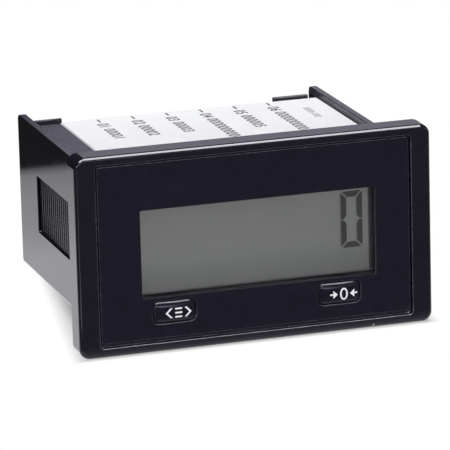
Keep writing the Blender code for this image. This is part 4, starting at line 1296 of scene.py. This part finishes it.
@dataclass
class WiringLabel(Assembly):
    """The white film on the deck with a tick and a line of plain numbers for each terminal."""

    terminals: list[float]
    tick_depths: Point = mm(50.4, 52.9)
    tick_width: float = 0.42 * MM
    deck: float = 36.55 * MM
    line_start: float = 49.0 * MM
    type_size: float = 3.5 * MM
    type_shift: float = 0.36
    spacing: float = 1.1
    corner: float = 0.3 * MM
    corner_steps: int = 6
    taper: float = 0.2 * MM
    softness: float = 0.03 * MM
    boldness: float = 0.05 * MM
    places: tuple[int, ...] = (5, 5, 5, 10, 6, 10)
    code_place: Point = mm(25.6, 45.5)
    code_size: float = 2.2 * MM
    print_height: float = 0.015 * MM

    def film(self) -> float:
        """Makes the film and returns its top level."""
        low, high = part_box("top_label")
        levels = [(self.taper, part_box("housing")[0].z + self.deck), (self.taper * 2, high.z)]
        ends = ((low.x, low.y), (high.x, high.y))
        loops = [placed(drawn_in(*ends, self.corner, inset, self.corner_steps), Axis.Z, level)
                 for inset, level in levels]
        self.ledger.make("label_film", Form().loft(loops), [], self.softness,
                         FIXED, "label_white", (LABEL_WHITE,), "top_label")
        return high.z

    def ticks(self, top: float) -> None:
        """Makes the row of ticks at the terminals.

        Args:
            top: Level of the film's top.
        """
        tick = Form().box(about(self.terminals[0], self.tick_width / 2), self.ends(self.tick_depths),
                          about(top, self.print_height)).piece("label_ticks")
        repeat(tick, len(self.terminals), (self.terminals[1] - self.terminals[0], 0, 0), LABEL_INK)
        self.ledger.book(tick, FIXED, "label_white", ())

    def line(self, name: str, words: str, start: Place, size: float, ink: Finish) -> None:
        """Prints one line of plain numbers that runs from the rear to the front.

        Args:
            name: The piece's name.
            words: The numbers.
            start: Where the line's foot starts, on the film's top.
            size: Size of the type.
            ink: Its finish.
        """
        text = bpy.data.curves.new(name, "FONT")
        text.body, text.size = words, size
        text.extrude, text.offset, text.space_character = self.print_height, self.boldness, self.spacing
        carrier = put(name, text)
        mesh = evaluated(carrier)
        bpy.data.objects.remove(carrier, do_unlink=True)
        mesh.transform(Matrix.Translation(start) @ Matrix.Rotation(-QUARTER, 4, "Z"))
        self.ledger.book(put(name, mesh), FIXED, "label_white", (ink,))

    def build(self) -> None:
        """Makes the film and its print."""
        top = self.film()
        self.ticks(top)
        for value, (centre, places) in enumerate(zip(self.terminals, self.places), 1):
            start = (centre - self.type_size * self.type_shift, self.at(self.line_start), top)
            words = f"{value:02d} {value:0{places}d}"
            self.line(f"label_line_{value}", words, start, self.type_size, LABEL_INK)
        start = (self.code_place[0], self.at(self.code_place[1]), top)
        self.line("label_code", "0000-000", start, self.code_size, LABEL_INK_PALE)


@dataclass
class TerminalRow(Assembly):
    """Six terminals: block, slotted screws and rising clamps."""

    centres: list[float]
    screw_depth: float = 57.2 * MM
    chamber_half: float = 2.6 * MM
    chamber_depths: Point = mm(54.8, 59.6)
    chamber_levels: Point = mm(21.8, 29.9)
    ledge_top: float = 31.1 * MM
    well_radius: float = 2.1 * MM
    throat_radius: float = 1.5 * MM
    entry_half: float = 1.6 * MM
    entry_levels: Point = mm(23.0, 25.3)
    slot_depths: Point = mm(52.9, 55.1)
    contact_top: float = 25.8 * MM
    contact_half: float = 1.1 * MM
    block_softness: float = 0.12 * MM
    head_radius: float = 1.9 * MM
    head_height: float = 1.6 * MM
    head_chamfer: float = 0.12 * MM
    head_dome: tuple[Point, ...] = (mm(0.3, 0), mm(0.12, 0.08), mm(0.02, 0.3), mm(0, 0.6))
    head_slot: float = 0.8 * MM
    head_slot_depth: float = 0.9 * MM
    screw_softness: float = 0.03 * MM
    shank_radius: float = 1.25 * MM
    thread_pitch: float = 0.5 * MM
    thread_depth: float = 0.18 * MM
    thread_rows: int = 6
    thread_start: float = 0.35
    tip_share: float = 0.75
    cage_corner: float = 0.5 * MM
    cage_steps: int = 6
    cage_side: float = 0.7 * MM
    cage_foot: float = 0.9 * MM
    cage_bridge: float = 1.4 * MM
    opening_corner: float = 0.25 * MM
    opening_steps: int = 5
    cage_softness: float = 0.08 * MM
    sides: int = 40

    def block(self) -> None:
        """Makes the block with its chambers, wells, entries and contact slots."""
        low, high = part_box("terminal_block")
        chambers, wells, throats, entries, slots = tools = [Form() for _ in range(5)]
        for x in self.centres:
            middle = (x, self.at(self.screw_depth))
            chambers.box(about(x, self.chamber_half), self.ends(self.chamber_depths), self.chamber_levels)
            wells.prism(ring(middle, self.well_radius, self.sides), Axis.Z, self.ledge_top, high.z + OVERRUN)
            throats.prism(ring(middle, self.throat_radius, self.sides), Axis.Z,
                          self.chamber_levels[1] - CLEARANCE, self.ledge_top + CLEARANCE)
            entries.box(about(x, self.entry_half),
                        (self.at(self.chamber_depths[1]) - CLEARANCE, high.y + OVERRUN), self.entry_levels)
            slots.box(about(x, self.contact_half), self.ends(self.slot_depths),
                      (low.z - OVERRUN, self.contact_top + CLEARANCE))
        self.ledger.make("terminal_row_block", Form().box(*zip(low, high)), tools, self.block_softness,
                         FIXED, "terminal_black", (TERMINAL_BLACK,), "terminal_block")

    def threaded(self, middle: Point, bottom: float, top: float) -> Form:
        """Makes a shank with a helical thread on it.

        Args:
            middle: The screw's axis.
            bottom: Level of its tip.
            top: Level under the head.

        Returns:
            The shank as one closed form.
        """
        (x, y), loops = middle, []
        for level in span(bottom, top, round((top - bottom) / self.thread_pitch * self.thread_rows)):
            turns = (level - bottom) / self.thread_pitch
            taper = self.tip_share + (1 - self.tip_share) * min(1.0, turns + self.thread_start)
            loop = []
            for side in range(self.sides):
                turn = WHOLE * side / self.sides
                ridge = abs(2 * ((turns - side / self.sides) % 1.0) - 1)
                radius = (self.shank_radius - self.thread_depth * ridge) * taper
                loop.append((x + radius * math.cos(turn), y + radius * math.sin(turn), level))
            loops.append(loop)
        return Form().loft(loops)

    def screw(self, number: int, x: float) -> None:
        """Makes one slotted screw.

        Args:
            number: The terminal's number.
            x: Its middle.
        """
        low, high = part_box(f"terminal_screw_{number}")
        middle = (x, self.at(self.screw_depth))
        under, top, r = high.z - self.head_height, high.z, self.head_radius
        profile = [(under, r - self.head_chamfer), (under + self.head_chamfer, r)]
        profile += [(top - drop, r - inset) for drop, inset in self.head_dome]
        slot = Form().box(about(x, r + OVERRUN), about(middle[1], self.head_slot / 2),
                          (top - self.head_slot_depth, top + OVERRUN))
        tools = [Form(Join.ADD).turned(middle, profile, self.sides), slot]
        self.ledger.make(f"slotted_screw_{number}", self.threaded(middle, low.z, under + NEAR), tools,
                         self.screw_softness, f"terminal_screw_body_{number}", "steel", (STEEL,),
                         f"terminal_screw_{number}")

    def clamp(self, number: int, x: float) -> None:
        """Makes one rising clamp with its bored bridge.

        Args:
            number: The terminal's number.
            x: Its middle.
        """
        low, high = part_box(f"clamp_cage_{number}")
        outline = rounded((low.x, low.z), (high.x, high.z), self.cage_corner, self.cage_steps)
        opening = rounded((low.x + self.cage_side, low.z + self.cage_foot),
                          (high.x - self.cage_side, high.z - self.cage_bridge),
                          self.opening_corner, self.opening_steps)
        bore = ring((x, self.at(self.screw_depth)), self.throat_radius, self.sides)
        tools = [Form().prism(opening, Axis.Y, low.y - OVERRUN, high.y + OVERRUN),
                 Form().prism(bore, Axis.Z, high.z - 2 * OVERRUN, high.z + OVERRUN)]
        self.ledger.make(f"rising_clamp_{number}", Form().prism(outline, Axis.Y, low.y, high.y), tools,
                         self.cage_softness, f"clamp_body_{number}", "brass", (BRASS,),
                         f"clamp_cage_{number}")

    def build(self) -> None:
        """Makes the block, the screws and the clamps."""
        self.block()
        for number, x in enumerate(self.centres, 1):
            self.screw(number, x)
            self.clamp(number, x)


@dataclass
class RearCover(Assembly):
    """The snap-in cover: rear plate, shelf, riser with two lips, and tongues."""

    half: float = 31.8 * MM
    bottom: float = 6.9 * MM
    plate: Point = mm(59.0, 60.4)
    shelf: float = 1.2 * MM
    block_top: float = 33.5 * MM
    block_bottom: float = 21.3 * MM
    riser: Point = mm(54.5, 55.5)
    riser_top: float = 36.2 * MM
    lips: tuple[Point, Point] = (mm(-31.4, -25.5), mm(22.1, 30.0))
    lip_overlap: float = 0.35 * MM
    lip_top: float = 37.4 * MM
    tongue_front: float = 52.0 * MM
    tongue_width: float = 5.0 * MM
    tongue_spacing: float = 40.0 * MM
    barb_length: float = 2.0 * MM
    barb_bottom: float = 5.6 * MM
    softness: float = 0.1 * MM

    def build(self) -> None:
        """Makes the cover."""
        low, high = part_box("terminal_block")
        (front, back), (riser, step), foot = self.ends(self.plate), self.ends(self.riser), self.bottom
        under = self.block_top - self.shelf
        outline = [(front, foot), (back, foot), (back, self.block_top), (step, self.block_top),
                   (step, self.riser_top), (riser, self.riser_top), (riser, under), (front, under)]
        notch = Form().box((low.x - CLEARANCE, high.x + CLEARANCE), (riser - OVERRUN, back + OVERRUN),
                           (self.block_bottom - CLEARANCE, self.block_top + CLEARANCE))
        lips, tongues = Form(Join.ADD), Form(Join.ADD)
        for ends in self.lips:
            lips.box(ends, (riser, step), (self.riser_top - self.lip_overlap, self.lip_top))
        start, end = self.ends((self.tongue_front, self.tongue_front + self.barb_length))
        root = self.at((self.plate[0] + self.plate[1]) / 2)
        hook = [(start, foot), (end, self.barb_bottom), (end, foot),
                (root, foot), (root, foot + OVERRUN), (start, foot + OVERRUN)]
        for side in (-1, 1):
            tongues.prism(hook, Axis.X, *about(side * self.tongue_spacing / 2, self.tongue_width / 2))
        self.ledger.make("snap_cover", Form().prism(outline, Axis.X, *about(0, self.half)),
                         [notch, lips, tongues], self.softness,
                         FIXED, "gloss_black", (GLOSS_BLACK,), "rear_cover")


@dataclass
class InnerParts:
    """The carried-over CAD nodes, which keep their shapes and get their finishes."""

    nodes: dict[str, Piece]
    kinds: tuple[Finish, ...] = (CLEAR_PANE, DISPLAY_FILM, DISPLAY_GLASS, FRAME_GREY, ZEBRA, CIRCUIT, EPOXY,
                                 TAN, TIN, STEEL, BRASS, TERMINAL_BLACK, GLOSS_BLACK, KEY_BLACK, LABEL_WHITE)

    def build(self, subparts: list[dict[str, str]]) -> None:
        """Gives every CAD node the finish of its slot.

        Args:
            subparts: The record's list of nodes and slots.
        """
        slots = {finish.name: finish for finish in self.kinds} | {"overlay_black": FACE_FILM}
        special = {"lcd_front_polarizer": FRONT_FILM, "lcd_rear_glass": DISPLAY_FILM}
        for entry in subparts:
            node = self.nodes[entry["node"]]
            finish = special.get(entry["node"], slots[entry["material_slot"]])
            dress(node, finish, FILM_CUT)
            clear = isinstance(finish, ClearSheet)
            for face in node.data.polygons:
                edge = abs(face.normal.y) < PANE_LEAN and face.normal.x < SIDE_LEAN
                face.material_index = int(clear and edge)


# The studio

@dataclass(frozen=True)
class Softbox:
    """A rectangular lamp aimed at the counter. A mirrored one only shows in gloss."""

    name: str
    at: Place
    width: float
    height: float
    radiance: float
    tint: Colour = (1.0, 1.0, 1.0)
    mirrored: bool = False

    def build(self, aim: Vector) -> None:
        """Hangs the lamp.

        Args:
            aim: The point that it faces.
        """
        lamp = bpy.data.lights.new(self.name, "AREA")
        lamp.shape = "RECTANGLE"
        lamp.size, lamp.size_y = self.width, self.height
        lamp.energy = self.radiance * math.pi * self.width * self.height
        lamp.color = self.tint
        holder, place = put(self.name, lamp), Vector(self.at)
        turn = (aim - place).to_track_quat("-Z", "Y").to_matrix().to_4x4()
        holder.matrix_world = Matrix.Translation(place) @ turn
        holder.visible_camera = False
        holder.visible_glossy = self.mirrored
        holder.visible_diffuse = not self.mirrored


@dataclass(frozen=True)
class FloorPaper(Finish):
    """The white floor, with the counter's shadow near it and its own brightness in the counter's gloss."""

    albedo: float = 0.55
    fill_light: float = 0.12
    mirror: float = 1.55
    ahead: float = 0.13
    card: float = 2.6
    falloff: tuple[Point, ...] = ((0.0, 0.8), (0.3, 0.8), (0.5, 0.62), (0.7, 0.55), (0.84, 0.46),
                                  (0.885, 0.2), (0.905, 0.02), (1.0, 0.02))

    def glow(self, sheet: NodeSheet, axes: Sockets) -> Socket:
        """Works out how bright the floor looks in the gloss of the counter.

        Args:
            sheet: The material's sheet.
            axes: The place on the floor, by axis.

        Returns:
            The strength: bright under the counter, dark far behind and in front on the right.
        """
        behind = sheet.steps(sheet.spread(axes[1], (0.0, 0.1)), list(self.falloff))
        outside = sheet.maths("MAXIMUM", sheet.maths("MULTIPLY_ADD", axes[0], -1.0, -0.04), 0.0)
        retreat = sheet.maths("MULTIPLY_ADD", outside, -0.8, axes[1])
        ahead = sheet.spread(retreat, (-0.045, -0.028), (self.ahead, 1.0), smooth=True)
        lean = sheet.maths("MULTIPLY_ADD", axes[1], -0.42, axes[0])
        card = sheet.maths("MULTIPLY", sheet.between(lean, -0.044, -0.024, 0.004),
                           sheet.between(axes[1], -0.4, -0.06, 0.01))
        base = sheet.fold("MULTIPLY", behind, ahead, self.mirror)
        return sheet.maths("MULTIPLY_ADD", card, self.card, base)

    def fill(self, sheet: NodeSheet, shader: bpy.types.Node) -> None:
        """Feeds the shader, and clears the floor away as seen from below.

        Args:
            sheet: The material's sheet.
            shader: Its Principled shader.
        """
        axes = sheet.split(sheet.place())
        # Painted shadow: the left, right, front and rear masks draw the shadow's edge; inside them the floor
        # is lamp-lit paper with its real shadow over a low emission, outside it is plain white emission
        lean = sheet.maths("MULTIPLY_ADD", axes[1], 0.138, sheet.maths("MULTIPLY", axes[0], -1.0))
        left, right = sheet.spread(lean, (0.03, 0.036)), sheet.spread(axes[0], (0.0375, 0.0402))
        front, rear = (sheet.spread(axes[1], ends) for ends in ((-0.0280, -0.0302), (0.02, 0.035)))
        far = sheet.fold("MAXIMUM", left, right, front, rear)
        path = sheet.add("ShaderNodeLightPath")
        light = sheet.spread(far, (0.0, 1.0), (self.fill_light, 1.0))
        paper = sheet.spread(far, (0.0, 1.0), (self.albedo, 0.0))
        grey = sheet.add("ShaderNodeCombineColor", {0: paper, 1: paper, 2: paper})[0]
        sheet.feed(shader, {"Roughness": 0.9, "Specular IOR Level": 0.0, "Emission Color": (1, 1, 1, 1),
                            "Base Color": grey,
                            "Emission Strength": sheet.maths("MULTIPLY", sheet.shown(path), light)})
        mirrored = sheet.add("ShaderNodeEmission", {"Color": (*self.colour, 1.0),
                                                    "Strength": self.glow(sheet, axes)})
        seen = sheet.mix(path["Is Glossy Ray"], shader.outputs[0], mirrored[0])
        below = sheet.add("ShaderNodeNewGeometry")["Backfacing"]
        clear = sheet.add("ShaderNodeBsdfTransparent")[0]
        sheet.feed("Material Output", {"Surface": sheet.mix(below, seen, clear)})


@dataclass(frozen=True)
class Studio:
    """Camera, lamps, floor and surroundings."""

    camera_at: Place = (-0.257087, -0.833593, 0.248935)
    azimuth: float = math.radians(17.314)
    elevation: float = math.radians(14.88)
    roll: float = math.radians(-1.514)
    lens: float = 341.9
    sensor: float = 36.0
    clip: Point = (0.05, 20.0)
    foot_front: Point = (-0.02455, 0.0)
    foot_back: Point = (0.03025, 0.005)
    floor_reach: float = 0.9
    floor: FloorPaper = FloorPaper("studio_floor", (1.0, 0.99, 1.05))
    ambient: float = 0.3
    dim: float = 0.03
    strip: float = 20.0
    band: float = 0.5
    low_light: float = 6.0
    aim: Place = (0.0, 0.0, 0.02)
    softboxes: tuple[Softbox, ...] = (
        Softbox("overhead_softbox", (0.1, 0.1, 1.3), 0.8, 0.8, 6.5),
        Softbox("front_softbox", (-0.08, -1.5, 0.27), 0.3, 0.2, 80.0),
        Softbox("window_card", (-0.38, -1.0, 0.95), 0.5, 0.45, 28.0, (0.8, 0.84, 1.0), mirrored=True),
    )

    def stand_camera(self) -> None:
        """Stands the camera where the photograph was taken."""
        a, e, r = self.azimuth, self.elevation, self.roll
        forward = Vector((math.sin(a) * math.cos(e), math.cos(a) * math.cos(e), -math.sin(e)))
        level = Vector((math.cos(a), -math.sin(a), 0.0))
        upward = level.cross(forward)
        right = math.cos(r) * level + math.sin(r) * upward
        up = math.cos(r) * upward - math.sin(r) * level
        data = bpy.data.cameras.new("photo_camera")
        data.lens, data.sensor_width = self.lens, self.sensor
        data.clip_start, data.clip_end = self.clip
        holder = put("photo_camera", data)
        turn = Matrix((right, up, -forward)).transposed().to_4x4()
        holder.matrix_world = Matrix.Translation(Vector(self.camera_at)) @ turn
        bpy.context.scene.camera = holder

    def lay_floor(self) -> None:
        """Lays the pale sheet that the counter leans on."""
        slope = (self.foot_back[1] - self.foot_front[1]) / (self.foot_back[0] - self.foot_front[0])
        reach = self.floor_reach
        corners = [(x, y, self.foot_front[1] + slope * (y - self.foot_front[0]))
                   for x, y in rectangle((-reach, -reach), (reach, reach))]
        mesh = bpy.data.meshes.new("studio_floor")
        mesh.from_pydata(corners, [], [(0, 1, 2, 3)])
        mesh.materials.append(material_of(self.floor))
        put("studio_floor", mesh)

    def surroundings(self) -> None:
        """Sets the world: white behind the counter, a soft pale band low down and a dim room above."""
        world = bpy.data.worlds.new("studio")
        world.use_nodes = True
        bpy.context.scene.world = world
        sheet = NodeSheet(world.node_tree)
        axes = sheet.split(sheet.add("ShaderNodeTexCoord")["Generated"])
        lean = sheet.maths("MULTIPLY_ADD", axes[1], -0.26, axes[0])
        band = sheet.fold("MULTIPLY", sheet.spread(lean, (-0.01, 0.015), smooth=True),
                          sheet.between(axes[2], 0.04, 0.36, 0.05), self.band)
        fade = sheet.steps(sheet.spread(axes[1], (-0.76, 0.24)),
                           [(0.0, 0.0), (0.06, 0.85), (0.5, 1.0), (0.88, 0.8), (1.0, 0.0)])
        left_edge = sheet.spread(axes[1], (-0.35, -0.1), (-0.3, 0.2))
        inside = sheet.spread(sheet.maths("SUBTRACT", axes[0], left_edge), (-0.03, 0.03))
        strip = sheet.fold("MULTIPLY", inside, sheet.spread(axes[0], (0.34, 0.4), (1.0, 0.0)), fade,
                           sheet.spread(axes[2], (0.35, 0.42)), self.strip)
        ahead = sheet.fold("MULTIPLY", sheet.spread(axes[0], (0.25, 0.28), (1.0, 0.0)),
                           sheet.spread(axes[1], (-0.7, -0.8)),
                           sheet.between(axes[2], 0.0, 0.12, 0.02), self.low_light)
        room = sheet.maths("ADD", sheet.maths("ADD", band, strip), sheet.maths("ADD", ahead, self.dim))
        path = sheet.add("ShaderNodeLightPath")
        ambient = sheet.maths("MULTIPLY", path["Is Diffuse Ray"], self.ambient)
        glossy = sheet.maths("MULTIPLY_ADD", path["Is Glossy Ray"], room, ambient)
        mirrored = sheet.blend(sheet.spread(axes[2], (0.4, 0.5)), (0.97, 0.97, 1.17), (0.99, 0.98, 1.03))
        tint = sheet.blend(path["Is Glossy Ray"], (1.0, 1.0, 1.0), mirrored)
        sheet.feed("Background", {"Strength": sheet.maths("ADD", sheet.shown(path), glossy), "Color": tint})

    def build(self) -> None:
        """Sets up the whole studio."""
        self.stand_camera()
        self.lay_floor()
        self.surroundings()
        for softbox in self.softboxes:
            softbox.build(Vector(self.aim))
        bpy.context.scene.view_settings.view_transform = "Standard"


def main() -> None:
    """Loads the frame, dresses it and sets up the studio."""
    logging.basicConfig(level=logging.INFO, format="%(name)s: %(message)s")
    for item in list(bpy.data.objects):
        bpy.data.objects.remove(item, do_unlink=True)
    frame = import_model()
    Studio().build()
    ledger = Ledger(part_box("housing")[0].y)
    InnerParts(frame["nodes"]).build(frame["record"]["subparts"])
    keys = [Key(ledger, "select_key", Sign.STEP, -KEY_OFFSET),
            Key(ledger, "reset_key", Sign.ZERO, KEY_OFFSET)]
    Housing(ledger).build(keys)
    FacePlate(ledger).build(keys)
    for key in keys:
        key.build()
    Display(ledger).build()
    middle = (TERMINALS - 1) / 2
    terminals = [(TERMINAL_SHIFT + TERMINAL_PITCH * (index - middle)) * MM for index in range(TERMINALS)]
    WiringLabel(ledger, terminals).build()
    TerminalRow(ledger, terminals).build()
    RearCover(ledger).build()
    LOG.info("%d pieces booked", ledger.booked)


if __name__ == "__main__":
    main()
